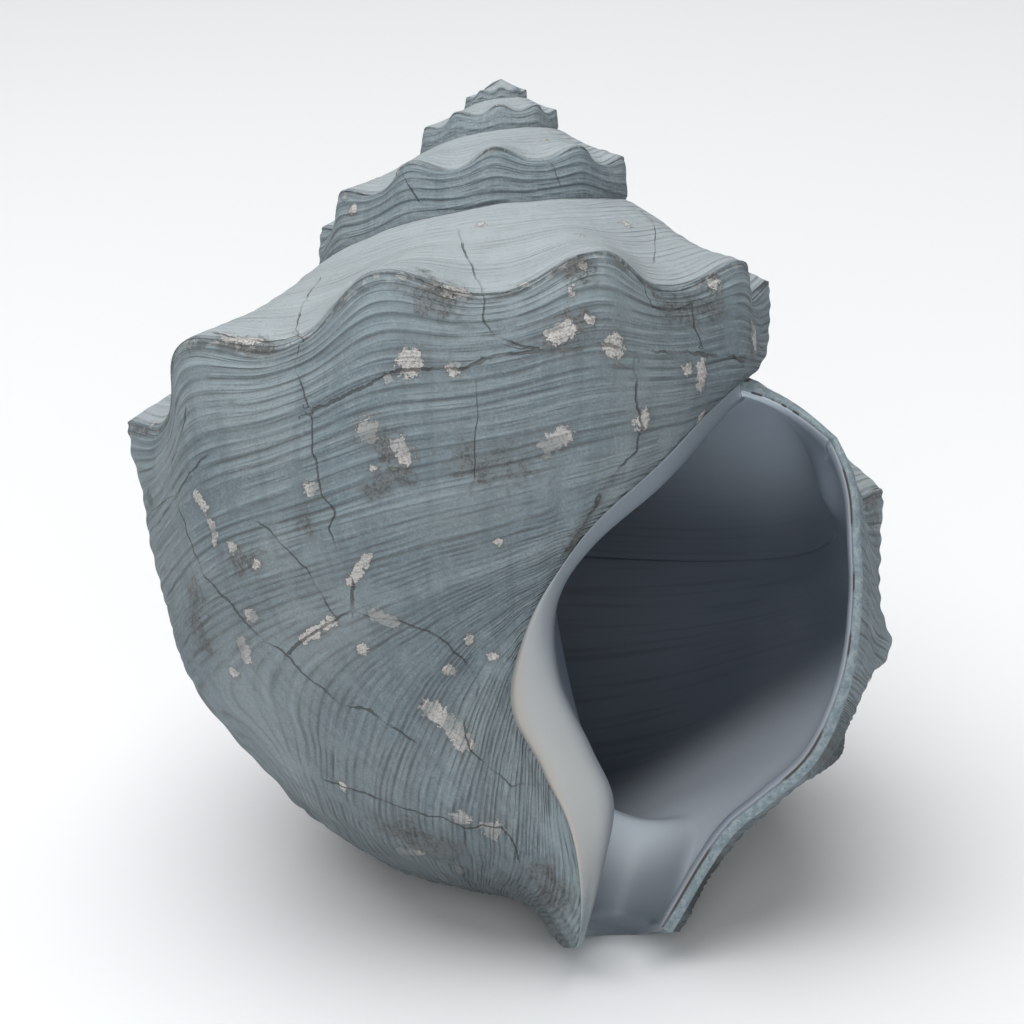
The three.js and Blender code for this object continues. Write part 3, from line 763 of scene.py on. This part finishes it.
def growth_at(angle):
    """Size of the marks: 1 on the last half turn, less and less up the spire."""
    return np.exp(GROWTH_RADIUS * np.minimum(angle - FULL_SIZE_FROM, 0) / TURN)


def ridge_at(angle, band):
    """Running number of the fine spiral ridges."""
    lift = RIDGE_LIFT * (knob(angle) - 0.4) * smooth(band / 0.03) * np.exp(-(band / 0.17) ** 2)
    slant = (RIDGE_SLANT * smooth((band - 0.4) / 0.22)
             * (1 - SLANT_EASES * smooth((band - 0.82) / 0.14)))
    wall_ridge = RIDGES * (band + lift - slant * (angle - 120))
    return np.where(band >= 0, wall_ridge, RAMP_RIDGES * band) * growth_at(angle)


def vertex_normals(xyz, polygons):
    lengths = np.array([len(f) for f in polygons])
    owner = np.repeat(np.arange(len(polygons)), lengths)
    flat = np.concatenate(polygons)
    start = np.concatenate([[0], np.cumsum(lengths)[:-1]])
    p0, p1, p2 = (xyz[flat[start + k]] for k in (0, 1, 2))
    last = xyz[flat[start + lengths - 1]]
    face_normal = np.cross(p2 - p0, last - p1)
    total = np.zeros(xyz.shape)
    for k in range(3):
        total[:, k] = np.bincount(flat, face_normal[owner, k], len(xyz))
    return total / (np.linalg.norm(total, axis=1, keepdims=True) + 1e-12)


def relief(rows, xyz, chalk):
    """How far each point of the outside stands out, in drawing units."""
    angle, v = rows[:, 0], rows[:, 1]
    band = band_at(angle, v)
    soft = noise(xyz, SOFT_SIZE, lattice(SEED))
    rough = noise(xyz, ROUGH_SIZE, lattice(SEED + 1))
    ridge = ridge_at(angle, band)
    cords = np.sin(2 * np.pi * ridge / CORD_WIDTH + 5 * soft) * (0.5 + rough)
    cord_height = np.where(v > -0.02, CORD_HEIGHT, RAMP_CORD_HEIGHT)
    folds = np.sin(np.radians(angle) * FOLDS + 7 * soft + 6 * band) * smooth((band - 0.12) / 0.3)
    keel = np.exp(-(v / np.where(v < 0, 0.05, 0.009)) ** 2)
    under = np.exp(-((v - 0.03) / 0.012) ** 2)
    seam = np.exp(-((v + 1) / 0.03) ** 2)
    out = (SOFT_HEIGHT * (soft - 0.5) + ROUGH_HEIGHT * (rough - 0.5) + cord_height * cords
           + FOLD_HEIGHT * folds - KEEL_CUT * keel - UNDER_KEEL_CUT * under - SEAM_CUT * seam)
    out = out * growth_at(angle) + CHALK_LIFT * smooth((1.15 - chalk) / 0.5) * (0.3 + rough)
    at_lip = smooth((LIP - angle) / 4)
    at_end = smooth((1 - v) / 0.02)
    past_column = (angle - column_angle(np.clip(v, SUTURE, 1))) / 3
    at_column = np.where(v > SUTURE, smooth(past_column), 1)
    return out * at_lip * at_end * at_column


def worn_tip(xyz):
    """The end of the column, worn blunt."""
    tip = on_outside(np.array([COLUMN_ANGLE[-1]]), np.array([1.0]))[0]
    away = xyz - tip
    beyond = away @ TIP_WAY + TIP_WORN
    kept = -TIP_SOFT * np.log1p(np.exp(np.clip(-beyond / TIP_SOFT, None, 50)))
    share = smooth((TIP_REACH - np.linalg.norm(away, axis=1)) / TIP_FADES)
    return xyz + (share * (kept - beyond))[:, None] * TIP_WAY


def attribute(mesh, name, kind, domain, values):
    layer = mesh.attributes.new(name, kind, domain)
    layer.data.foreach_set("vector" if kind == "FLOAT_VECTOR" else "value", np.ravel(values))


def rest_turn():
    """From upright on its own axis to the lean of the photographed shell."""
    return Matrix.Rotation(np.radians(ROLL), 3, "Y") @ Matrix.Rotation(np.radians(-LEAN), 3, "X")


def build_shell():
    mouth_mesh(coil_mesh())
    xyz = np.array(points)
    rows = np.array(vertex_rows)
    polygons = [np.array(f) for f in faces]
    out = rows[:, 3] == 0
    normals = vertex_normals(xyz, polygons)

    rng = np.random.default_rng(SEED)
    cracks, chalk_spots, stain_spots = hidden_marks(rng)
    chalk = np.full(len(xyz), 9.0)
    stain = np.full(len(xyz), 9.0)
    chalk[out] = spot_share(xyz[out], CHALK + chalk_spots)
    stain[out] = spot_share(xyz[out], STAINS + stain_spots)
    marks = {}
    for name, runs in (("crack", CRACKS + cracks), ("fork", FORKS)):
        near = np.full(len(xyz), 99.0)
        signed = np.full(len(xyz), 99.0)
        for width, run in runs:
            d, side_d = (x / width for x in run_distance(xyz[out], normals[out], jagged(run, rng)))
            closer = d < near[out]
            index = np.flatnonzero(out)[closer]
            near[index] = d[closer]
            signed[index] = side_d[closer]
        marks[name] = (near, signed)

    moved = xyz.copy()
    moved[out] += normals[out] * relief(rows[out], xyz[out], chalk[out])[:, None]
    moved = worn_tip(moved)
    rest = np.array([list(row) for row in rest_turn()])
    own = np.stack([moved[:, 0], -moved[:, 1], -moved[:, 2]], -1)
    placed = (own @ rest.T * MM + np.array(APEX_MM)) / 1000
    placed[:, 2] = np.maximum(placed[:, 2], 0)  # worn flat where it rests

    mesh = bpy.data.meshes.new("shell_visual")
    mesh.from_pydata(placed.tolist(), [], faces)
    mesh.polygons.foreach_set("use_smooth", [True] * len(mesh.polygons))
    corners = np.array(corner_rows)
    attribute(mesh, "coil", "FLOAT_VECTOR", "CORNER", corners)
    attribute(mesh, "ridge", "FLOAT", "CORNER", ridge_at(corners[:, 0] * TURN, corners[:, 1]))
    attribute(mesh, "chalk", "FLOAT", "POINT", chalk)
    attribute(mesh, "stain", "FLOAT", "POINT", stain)
    for name, (near, signed) in marks.items():
        attribute(mesh, name + "_near", "FLOAT", "POINT", near)
        attribute(mesh, name, "FLOAT", "POINT", signed)
    mesh.update()
    shell = bpy.data.objects.new("shell_visual", mesh)
    bpy.context.scene.collection.objects.link(shell)
    return shell


# The material.
class Nodes:
    """Short names for the nodes of one material."""

    def __init__(self, material):
        self.tree = material.node_tree

    def new(self, kind, **settings):
        node = self.tree.nodes.new(kind)
        for key, value in settings.items():
            setattr(node, key, value)
        return node

    def put(self, socket, value):
        if isinstance(value, bpy.types.NodeSocket):
            self.tree.links.new(value, socket)
        else:
            socket.default_value = value

    def math(self, operation, *values):
        node = self.new("ShaderNodeMath", operation=operation)
        for socket, value in zip(node.inputs, values):
            self.put(socket, value)
        return node.outputs[0]

    def add(self, *values):
        total = values[0]
        for value in values[1:]:
            total = self.math("ADD", total, value)
        return total

    def mul(self, *values):
        total = values[0]
        for value in values[1:]:
            total = self.math("MULTIPLY", total, value)
        return total

    def less(self, value):
        """One less the value."""
        return self.math("SUBTRACT", 1.0, value)

    def about_half(self, value, gain):
        """How far a noise is above its middle, times the gain."""
        return self.mul(self.add(value, -0.5), gain)

    def step(self, value, low, high, out_low=0.0, out_high=1.0):
        node = self.new("ShaderNodeMapRange", interpolation_type="SMOOTHSTEP")
        for socket, v in zip(node.inputs, (value, low, high, out_low, out_high)):
            self.put(socket, v)
        return node.outputs[0]

    def colour(self, factor, a, b):
        node = self.new("ShaderNodeMix", data_type="RGBA")
        self.put(node.inputs[0], factor)
        self.put(node.inputs[6], a)
        self.put(node.inputs[7], b)
        return node.outputs[2]

    def coat(self, under, name, *masks):
        """One coat of the table, over what is under it."""
        strength, level, tint = COATS[name]
        return self.colour(self.mul(*masks, strength), under, grey(level, tint))

    def blend(self, name, factor):
        """A paint between the two ends that the table gives it."""
        dark, light = BLENDS[name]
        return self.colour(factor, grey(*dark), grey(*light))

    def read(self, name, vector=False):
        node = self.new("ShaderNodeAttribute", attribute_name=name)
        return node.outputs["Vector" if vector else "Fac"]

    def split(self, vector):
        node = self.new("ShaderNodeSeparateXYZ")
        self.put(node.inputs[0], vector)
        return node.outputs

    def noise(self, vector, scale, detail, roughness=0.5, dimensions="3D"):
        node = self.new("ShaderNodeTexNoise", noise_dimensions=dimensions)
        self.put(node.inputs["Vector"], vector)
        node.inputs["Scale"].default_value = scale
        node.inputs["Detail"].default_value = detail
        node.inputs["Roughness"].default_value = roughness
        return node.outputs[0]

    def flat_noise(self, x, y, detail, roughness=0.5):
        node = self.new("ShaderNodeCombineXYZ")
        self.put(node.inputs[0], x)
        self.put(node.inputs[1], y)
        return self.noise(node.outputs[0], 1.0, detail, roughness, "2D")

    def bump(self, height, distance):
        node = self.new("ShaderNodeBump")
        node.inputs["Strength"].default_value = 1.0
        node.inputs["Distance"].default_value = distance
        self.put(node.inputs["Height"], height)
        return node.outputs[0]


def grey(level, tint):
    return (level * tint[0], level * tint[1], level * tint[2], 1)


# sizes of the noises, in drawing units
CLOUD_SIZE, PATCH_SIZE, FADE_SIZE = 150, 38, 34
FINE_SIZE, GRAIN_SIZE = 7, 2.4

# rounded cords, and the closer ones between them, for each ridge
CORD_RATE = 0.56
CLOSE_RATE = 1.02

SLATE = (0.74, 0.98, 1.1)
SLATE_PALE = (0.82, 1.0, 1.07)
# the two ends of each blended paint, as level and tint
BLENDS = {
    "slate": ((0.205, SLATE), (0.25, SLATE_PALE)),
    "chalk": ((0.32, (1.04, 1, 0.95)), (0.52, (1.02, 1, 0.97))),
    "glaze": ((0.24, (0.8, 0.95, 1.16)), (0.29, (0.84, 0.96, 1.12))),
    "column": ((0.33, (0.84, 0.98, 1.1)), (0.44, (0.97, 1, 1))),
    "rind": ((0.24, SLATE), (0.34, SLATE_PALE)),
}

# strength, level and tint of each coat over the ones before it
COATS = {
    "belt light": (0.5, 0.32, SLATE_PALE),
    "belt dark": (0.4, 0.17, SLATE),
    "fine light": (0.3, 0.32, SLATE_PALE),
    "grain dark": (0.3, 0.12, (0.95, 1, 1)),
    "grain light": (0.3, 0.38, (0.92, 1, 1.02)),
    "groove": (0.56, 0.1, (0.98, 1, 0.98)),
    "crest": (0.4, 0.38, SLATE_PALE),
    "growth": (0.25, 0.14, SLATE),
    # painted light: a paler band along the keel and just under it
    "painted_light_brow": (1, 0.4, SLATE_PALE),
    # painted light: the upward-facing ramps are painted much paler, standing in for the light from above
    "ramp": (1, 0.56, (0.92, 1, 1.03)),
    "stain": (0.45, 0.13, (1.04, 1, 0.95)),
    "speck": (0.6, 0.04, (1.15, 1, 0.85)),
    "loose": (0.4, 0.1, (1.08, 1, 0.9)),
    "halo": (0.5, 0.1, (1.12, 1, 0.88)),
    "crack": (0.68, 0.045, (1.12, 1, 0.86)),
    "seam": (0.75, 0.04, (1.1, 1, 0.92)),
    # painted shade: dark patches just under the keel's overhang
    "shade under keel": (0.6, 0.06, (1.08, 1, 0.92)),
    "foot": (0.45, 0.36, SLATE_PALE),
    "crust": (0.55, 0.42, (1, 1, 0.98)),
    "crust pits": (0.7, 0.07, (1.1, 1, 0.9)),
    # painted shade: the lowest part of the shell, near the floor, is darkened
    "low": (0.65, 0.06, (0.9, 1, 1.02)),
    # painted shade: the hollow is painted darker the further in it goes
    "deep": (0.85, 0.13, (0.78, 0.95, 1.2)),
    "streak": (0.3, 0.07, (0.8, 0.97, 1.15)),
    # painted light: a bright patch on the floor of the mouth
    "floor": (1, 0.8, (0.9, 0.98, 1.06)),
    # painted shade: the canal's trough near the mouth is darkened
    "canal": (0.76, 0.13, (0.8, 0.97, 1.12)),
    # painted light: the upper corners of the mouth are painted very pale
    "corner": (1, 0.74, (0.84, 0.97, 1.1)),
    "beige": (0.6, 0.36, (1.14, 1.02, 0.88)),
    # painted shade: a near-black line in the crevice at the column's edge
    "crevice_shade": (1, 0.04, (1.05, 1, 0.95)),
    "rind specks": (0.6, 0.1, (1.05, 1, 0.92)),
    "border": (0.5, 0.36, (0.95, 1, 1.04)),
    "split": (0.85, 0.05, (1.25, 1, 0.76)),
}

# heights of the fine relief, in drawing units
RIDGE_HEIGHT = 2.3
FINE_HEIGHT = 0.9
GRAIN_HEIGHT = 0.6
CHALK_HEIGHT = 0.8
CHALK_GRAIN_HEIGHT = 1.4
CRACK_DEPTH = 2.0
RIND_FINE_HEIGHT = 1.2


class Surface:
    """What the coats are laid by: the place on the shell, and noises."""

    def __init__(self, n):
        coil = n.split(n.read("coil", True))
        self.turns, self.band, self.part = coil[0], coil[1], coil[2]
        self.ridge = n.read("ridge")
        where = n.new("ShaderNodeTexCoord").outputs["Object"]
        scaled = n.new("ShaderNodeVectorMath", operation="SCALE")
        n.put(scaled.inputs[0], where)
        scaled.inputs["Scale"].default_value = UNITS_PER_METRE
        self.here = scaled.outputs[0]
        self.height = n.split(where)[2]
        self.cloud = n.noise(self.here, 1 / CLOUD_SIZE, 1)
        self.patchy = n.noise(self.here, 1 / PATCH_SIZE, 1, 0.55)
        self.fine = n.noise(self.here, 1 / FINE_SIZE, 2, 0.6)
        self.grain = n.noise(self.here, 1 / GRAIN_SIZE, 1, 0.65)
        self.ramp = n.step(self.band, 0.005, -0.05)
        self.ridged = self.ridges(n)

    def ridges(self, n):
        """Rounded cords with narrow grooves, and long fine threads between them."""
        slow = n.flat_noise(n.mul(self.turns, 11), n.mul(self.ridge, 0.2), 0)
        wobble = n.add(self.ridge, n.mul(slow, 1.6))
        cord = n.math("ABSOLUTE", n.math("SINE", n.mul(wobble, np.pi * CORD_RATE)))
        close = n.math("ABSOLUTE", n.math("SINE", n.mul(wobble, np.pi * CLOSE_RATE)))
        streak = n.flat_noise(n.mul(self.turns, 15), n.mul(self.ridge, 0.8), 2, 0.6)
        thread = n.flat_noise(n.mul(self.turns, 46), n.mul(self.ridge, 2.6), 0)
        upper = n.step(self.band, 0.42, 0.2)
        worn = n.mul(n.step(self.patchy, 0.5, 0.7, 1.0, 0.35), n.add(0.9, n.mul(self.ramp, -0.4)))
        return n.mul(worn, n.add(n.mul(cord, n.add(0.35, n.mul(upper, 0.75))),
                                 n.mul(close, n.add(0.75, n.mul(upper, -0.35))),
                                 n.about_half(streak, 1.0), n.about_half(thread, 0.6), -0.72))


def outside_colour(n, s):
    """The clean outside: belts, grain, ridges and growth lines, with painted light on the ramps and
    along the keel.
    """
    belt = n.flat_noise(n.mul(s.turns, 3.5), n.mul(s.ridge, 0.17), 1)
    growth = n.flat_noise(n.mul(s.turns, 120), n.mul(s.band, 5), 1, 0.6)
    base = n.blend("slate", n.step(s.cloud, 0.35, 0.65))
    base = n.coat(base, "belt light", n.step(belt, 0.5, 0.7))
    base = n.coat(base, "belt dark", n.step(belt, 0.48, 0.3))
    base = n.coat(base, "fine light", n.step(s.fine, 0.45, 0.75))
    base = n.coat(base, "grain dark", n.step(s.grain, 0.5, 0.3))
    base = n.coat(base, "grain light", n.step(s.grain, 0.52, 0.72))
    crowded = n.mul(n.step(s.band, 0.4, 0.56), n.step(s.turns, 0.37, 0.26))
    groove = n.mul(n.step(s.ridged, 0.0, -0.75), n.step(s.turns, -0.35, 0.05, 0.5, 1.0),
                   n.add(1.0, n.mul(crowded, -0.5)))
    base = n.coat(base, "groove", groove)
    crest = n.step(s.ridged, 0.15, 0.8)
    base = n.coat(base, "crest", crest)
    base = n.coat(base, "growth", n.step(growth, 0.5, 0.72))
    # Painted light: a paler band along the keel and on the upper wall just under it.
    painted_light_brow = n.mul(n.step(s.band, -0.04, 0.0), n.step(s.band, 0.12, 0.02))
    base = n.coat(base, "painted_light_brow", painted_light_brow, n.add(0.26, n.mul(crest, 0.3)))
    # Painted light: the ramps, which face up towards the light, are painted much paler.
    return n.coat(base, "ramp", s.ramp, n.add(0.52, n.mul(crest, 0.3)))


def stained(n, s, base):
    stain = n.add(n.read("stain"), n.about_half(s.patchy, -2.6), n.about_half(s.fine, -2.0))
    stain = n.step(stain, 1.3, 0.2)
    speck = n.step(n.add(s.grain, n.mul(s.fine, 0.6)), 0.7, 0.98)
    base = n.coat(base, "stain", stain)
    base = n.coat(base, "speck", stain, speck)
    loose = n.mul(n.step(s.cloud, 0.45, 0.62), n.step(s.fine, 0.5, 0.6), n.step(s.grain, 0.58, 0.68))
    return n.coat(base, "loose", loose)


def chalked(n, s, base):
    """The colour with chalky patches on it, and how much chalk there is."""
    share = n.add(n.read("chalk"), n.about_half(s.fine, -2.0), n.about_half(s.grain, -0.8))
    chalk = n.mul(n.step(share, 1.12, 0.9), n.step(s.patchy, 0.36, 0.52, 0.4, 1.0))
    base = n.coat(base, "halo", n.step(share, 2.1, 1.1), n.step(s.grain, 0.45, 0.6))
    return n.colour(chalk, base, n.blend("chalk", n.step(s.grain, 0.3, 0.6))), chalk


def cracked(n, s, base):
    """The colour with the cracks on it, and how deep they are."""
    jitter = n.about_half(s.fine, 6.0)
    lines = []
    for name in ("crack", "fork"):
        across = n.math("ABSOLUTE", n.add(n.read(name), jitter))
        width = n.add(0.35, n.mul(s.patchy, 2.2))
        line = n.less(n.step(n.math("DIVIDE", across, width), 0.45, 1.3))
        lines.append(n.mul(line, n.step(n.read(name + "_near"), 9.5, 6.5)))
    fade = n.step(n.noise(s.here, 1 / FADE_SIZE, 0), 0.36, 0.56, 0.25, 1.0)
    deep = n.mul(n.math("MAXIMUM", *lines), fade)
    return n.coat(base, "crack", deep), deep


def edged(n, s, base):
    """The colour along the seams, the keel and the foot, and the crust on the keel, with painted shade
    under the keel and painted shade low down near the floor.
    """
    grown = n.step(s.turns, -2.75, -2.5)
    seam = n.step(n.add(s.band, n.about_half(s.fine, 0.03)), -0.972, -0.99)
    base = n.coat(base, "seam", seam, grown)
    # Painted shade: the wall just under the keel's overhang is darkened, broken into patches.
    under_keel_shade = n.mul(n.step(s.band, 0.0, 0.006), n.step(s.band, 0.034, 0.014),
                       n.step(s.patchy, 0.46, 0.6))
    base = n.coat(base, "shade under keel", under_keel_shade)
    base = n.coat(base, "foot", n.step(s.band, 0.72, 0.84), n.step(s.turns, 0.34, 0.29))
    crust = n.mul(n.step(s.band, -0.03, -0.004), n.step(s.band, 0.03, 0.006),
                  n.step(s.fine, 0.5, 0.62))
    base = n.coat(base, "crust", crust)
    base = n.coat(base, "crust pits", crust, n.step(s.grain, 0.46, 0.36), n.step(s.patchy, 0.5, 0.6))
    # Painted shade: darker the closer to the floor, on the left and back of the body whorl.
    base = n.coat(base, "low", n.step(s.height, 0.034, 0.01), n.step(s.turns, 0.33, 0.43))
    return base, crust


def glazed(n, s):
    """The smooth inside, by place round the mouth and depth into it, with painted shade deep in the
    hollow, in the canal and in the crevice at the column's edge, and painted light on the floor of the
    mouth and in its upper corners.
    """
    turns, band = s.turns, s.band
    on_column = n.step(turns, 0.555, 0.6)
    glaze = n.blend("glaze", n.step(s.cloud, 0.3, 0.7))
    # Painted shade: darker from about 30 to 90 degrees back from the lip, and dark beyond.
    deep = n.step(band, 1.3, 1.9)
    glaze = n.coat(glaze, "deep", deep)
    streaks = n.flat_noise(n.mul(turns, 170), n.mul(band, 2.2), 1, 0.6)
    glaze = n.coat(glaze, "streak", n.step(streaks, 0.5, 0.75), deep)
    pale = n.blend("column", n.step(turns, 0.9, 0.7))
    glaze = n.colour(n.mul(on_column, n.step(band, 1.15, 0.7)), glaze, pale)
    # Painted light: a bright patch on the floor of the mouth, inside the lower lip, where light falls
    # in.
    nearer = n.add(turns, n.mul(n.add(band, -1.8), -0.12))
    floor = n.mul(n.step(nearer, 0.4, 0.475), n.step(turns, 0.66, 0.6), n.step(band, 2.6, 2.0),
                  n.step(band, 1.05, 1.35))
    glaze = n.coat(glaze, "floor", floor)
    # Painted shade: the trough of the canal, near the mouth, is painted darker.
    canal = n.mul(n.step(turns, 0.49, 0.51), n.step(turns, 0.62, 0.59), n.step(band, 1.6, 1.25))
    glaze = n.coat(glaze, "canal", canal)
    # Painted light: the recessed upper corners of the mouth, on the lip side and a little inside on the
    # column side, are painted very pale so they look lit.
    corner = n.add(n.step(turns, 0.22, 0.05),
                   n.mul(n.step(turns, 0.84, 0.97), n.step(band, 1.15, 1.5)))
    glaze = n.coat(glaze, "corner", corner, n.step(band, 2.1, 1.35))
    beige = n.mul(on_column, n.step(band, 0.34, 0.05), n.step(turns, 0.84, 0.74))
    glaze = n.coat(glaze, "beige", beige)
    # Painted shade: a near-black line where the callus edge meets the body wall, standing in for the
    # shade in that crevice.
    crevice_shade = n.mul(on_column, n.step(band, 0.09, 0.01),
                n.add(0.3, n.mul(n.step(turns, 0.82, 0.86), n.step(turns, 0.97, 0.92), 0.65)))
    return n.coat(glaze, "crevice_shade", crevice_shade)


def lip_edge(n, s, glaze):
    """The edge of the outer lip: rind, split and glazed border. Also how much is rind."""
    turns, band = s.turns, s.band
    on_lip = n.less(n.step(turns, 0.5, 0.55))
    layer = n.mul(on_lip, n.step(band, 0.6, 0.52))
    rind = n.blend("rind", n.step(s.fine, 0.35, 0.7))
    rind = n.coat(rind, "rind specks", n.step(s.grain, 0.58, 0.74))
    glaze = n.colour(layer, glaze, rind)
    border = n.mul(on_lip, n.step(band, 0.6, 0.66), n.step(band, 0.84, 0.7))
    glaze = n.coat(glaze, "border", border)
    past = n.mul(n.step(turns, 0.5, 0.53), n.step(turns, 0.65, 0.615), n.step(band, 0.9, 0.45))
    glaze = n.colour(past, glaze, rind)
    broken = n.step(n.flat_noise(n.mul(turns, 30), 2.0, 1), 0.5, 0.58)
    split = n.mul(on_lip, n.step(band, 0.42, 0.5), n.step(band, 0.66, 0.6))
    return n.coat(glaze, "split", split, broken), layer


def shell_material():
    material = bpy.data.materials.new("shell")
    material.use_nodes = True
    n = Nodes(material)
    shader = material.node_tree.nodes["Principled BSDF"]
    s = Surface(n)
    base = stained(n, s, outside_colour(n, s))
    base, chalk = chalked(n, s, base)
    base, cracks = cracked(n, s, base)
    base, crust = edged(n, s, base)
    glaze, layer = lip_edge(n, s, glazed(n, s))
    is_mouth = n.step(s.part, 0.4, 0.6)
    is_outside = n.less(is_mouth)
    n.put(shader.inputs["Base Color"], n.colour(is_mouth, base, glaze))

    rough_out = n.add(0.72, n.mul(s.grain, 0.2))
    rough_in = n.add(0.38, n.mul(layer, 0.4), n.mul(s.fine, 0.08))
    n.put(shader.inputs["Roughness"], n.add(n.mul(rough_out, is_outside), n.mul(rough_in, is_mouth)))

    chalk_height = n.mul(chalk, n.add(CHALK_HEIGHT, n.mul(s.grain, CHALK_GRAIN_HEIGHT)))
    outer_height = n.add(n.mul(s.ridged, RIDGE_HEIGHT), n.mul(s.fine, n.add(FINE_HEIGHT, crust)),
                         n.mul(s.grain, GRAIN_HEIGHT), chalk_height, n.mul(cracks, -CRACK_DEPTH))
    inner_height = n.mul(layer, n.add(n.mul(s.fine, RIND_FINE_HEIGHT), n.mul(s.grain, GRAIN_HEIGHT)))
    height = n.add(n.mul(outer_height, is_outside), n.mul(inner_height, is_mouth))
    n.put(shader.inputs["Normal"], n.bump(height, 1.0 / UNITS_PER_METRE))
    return material


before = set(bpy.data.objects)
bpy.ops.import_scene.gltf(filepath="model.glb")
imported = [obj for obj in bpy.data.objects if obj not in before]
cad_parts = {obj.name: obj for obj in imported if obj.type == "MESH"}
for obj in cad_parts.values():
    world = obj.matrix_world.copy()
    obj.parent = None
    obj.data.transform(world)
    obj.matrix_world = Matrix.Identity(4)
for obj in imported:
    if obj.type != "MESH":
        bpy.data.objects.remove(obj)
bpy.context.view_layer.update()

shell = build_shell()
shell.data.materials.append(shell_material())
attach(shell, "root")
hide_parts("shell")

# The camera looks from the photograph's angle: it is described about the shell's own axis.
CAMERA_TILT = 0.175
CAMERA_ROLL = 0.014
CAMERA_DISTANCE = 3400
CAMERA_SIDE = 11
CAMERA_DOWN = 446
PHOTO_SIZE = 1024
SENSOR_MM = 36


def add_camera():
    ca, sa = np.cos(CAMERA_ROLL), np.sin(CAMERA_ROLL)
    cb, sb = np.cos(CAMERA_TILT), np.sin(CAMERA_TILT)
    turn = rest_turn()
    right = turn @ Vector((ca, sb * sa, -cb * sa))
    up = turn @ Vector((sa, -sb * ca, cb * ca))
    toward = turn @ Vector((0, -cb, -sb))
    apex = Vector(APEX_MM) / 1000
    spot = apex + (CAMERA_SIDE * right - CAMERA_DOWN * up + CAMERA_DISTANCE * toward) * (MM / 1000)
    data = bpy.data.cameras.new("camera")
    data.sensor_width = SENSOR_MM
    data.lens = CAMERA_DISTANCE / PHOTO_SIZE * SENSOR_MM
    data.clip_start = 0.01
    data.clip_end = 20
    camera = bpy.data.objects.new("camera", data)
    axes = Matrix((right, up, toward)).transposed().to_4x4()
    camera.matrix_world = Matrix.Translation(spot) @ axes
    bpy.context.scene.collection.objects.link(camera)
    bpy.context.scene.camera = camera


add_camera()


FLOOR_HALF = 3
FLOOR_PAINT = (0.9, 0.91, 0.92, 1)
FLOOR_ROUGHNESS = 0.9


def add_floor():
    mesh = bpy.data.meshes.new("floor")
    corners = [(x * FLOOR_HALF, y * FLOOR_HALF, 0) for x, y in ((-1, -1), (1, -1), (1, 1), (-1, 1))]
    mesh.from_pydata(corners, [], [(0, 1, 2, 3)])
    floor = bpy.data.objects.new("floor", mesh)
    bpy.context.scene.collection.objects.link(floor)
    paint = bpy.data.materials.new("floor")
    paint.use_nodes = True
    shader = paint.node_tree.nodes["Principled BSDF"]
    shader.inputs["Base Color"].default_value = FLOOR_PAINT
    shader.inputs["Roughness"].default_value = FLOOR_ROUGHNESS
    mesh.materials.append(paint)


add_floor()


LIGHTS_AIM = Vector((0, 0, 0.05))
# name, place, diameter in metres and power in watts
LIGHTS = [("top", (-0.15, 0.05, 0.95), 1.3, 11), ("front", (0.05, -1.1, 0.55), 0.9, 5)]
SKY_PAINT = (0.95, 0.97, 1, 1)
SKY_STRENGTH = 0.2


def add_light(name, spot, size, power):
    data = bpy.data.lights.new(name, "AREA")
    data.shape = "DISK"
    data.size = size
    data.energy = power
    light = bpy.data.objects.new(name, data)
    light.location = spot
    light.rotation_euler = (LIGHTS_AIM - Vector(spot)).to_track_quat("-Z", "Y").to_euler()
    bpy.context.scene.collection.objects.link(light)


for light in LIGHTS:
    add_light(*light)
world = bpy.data.worlds.new("studio")
world.use_nodes = True
world.node_tree.nodes["Background"].inputs["Color"].default_value = SKY_PAINT
world.node_tree.nodes["Background"].inputs["Strength"].default_value = SKY_STRENGTH
bpy.context.scene.world = world
bpy.context.scene.view_settings.view_transform = "Standard"
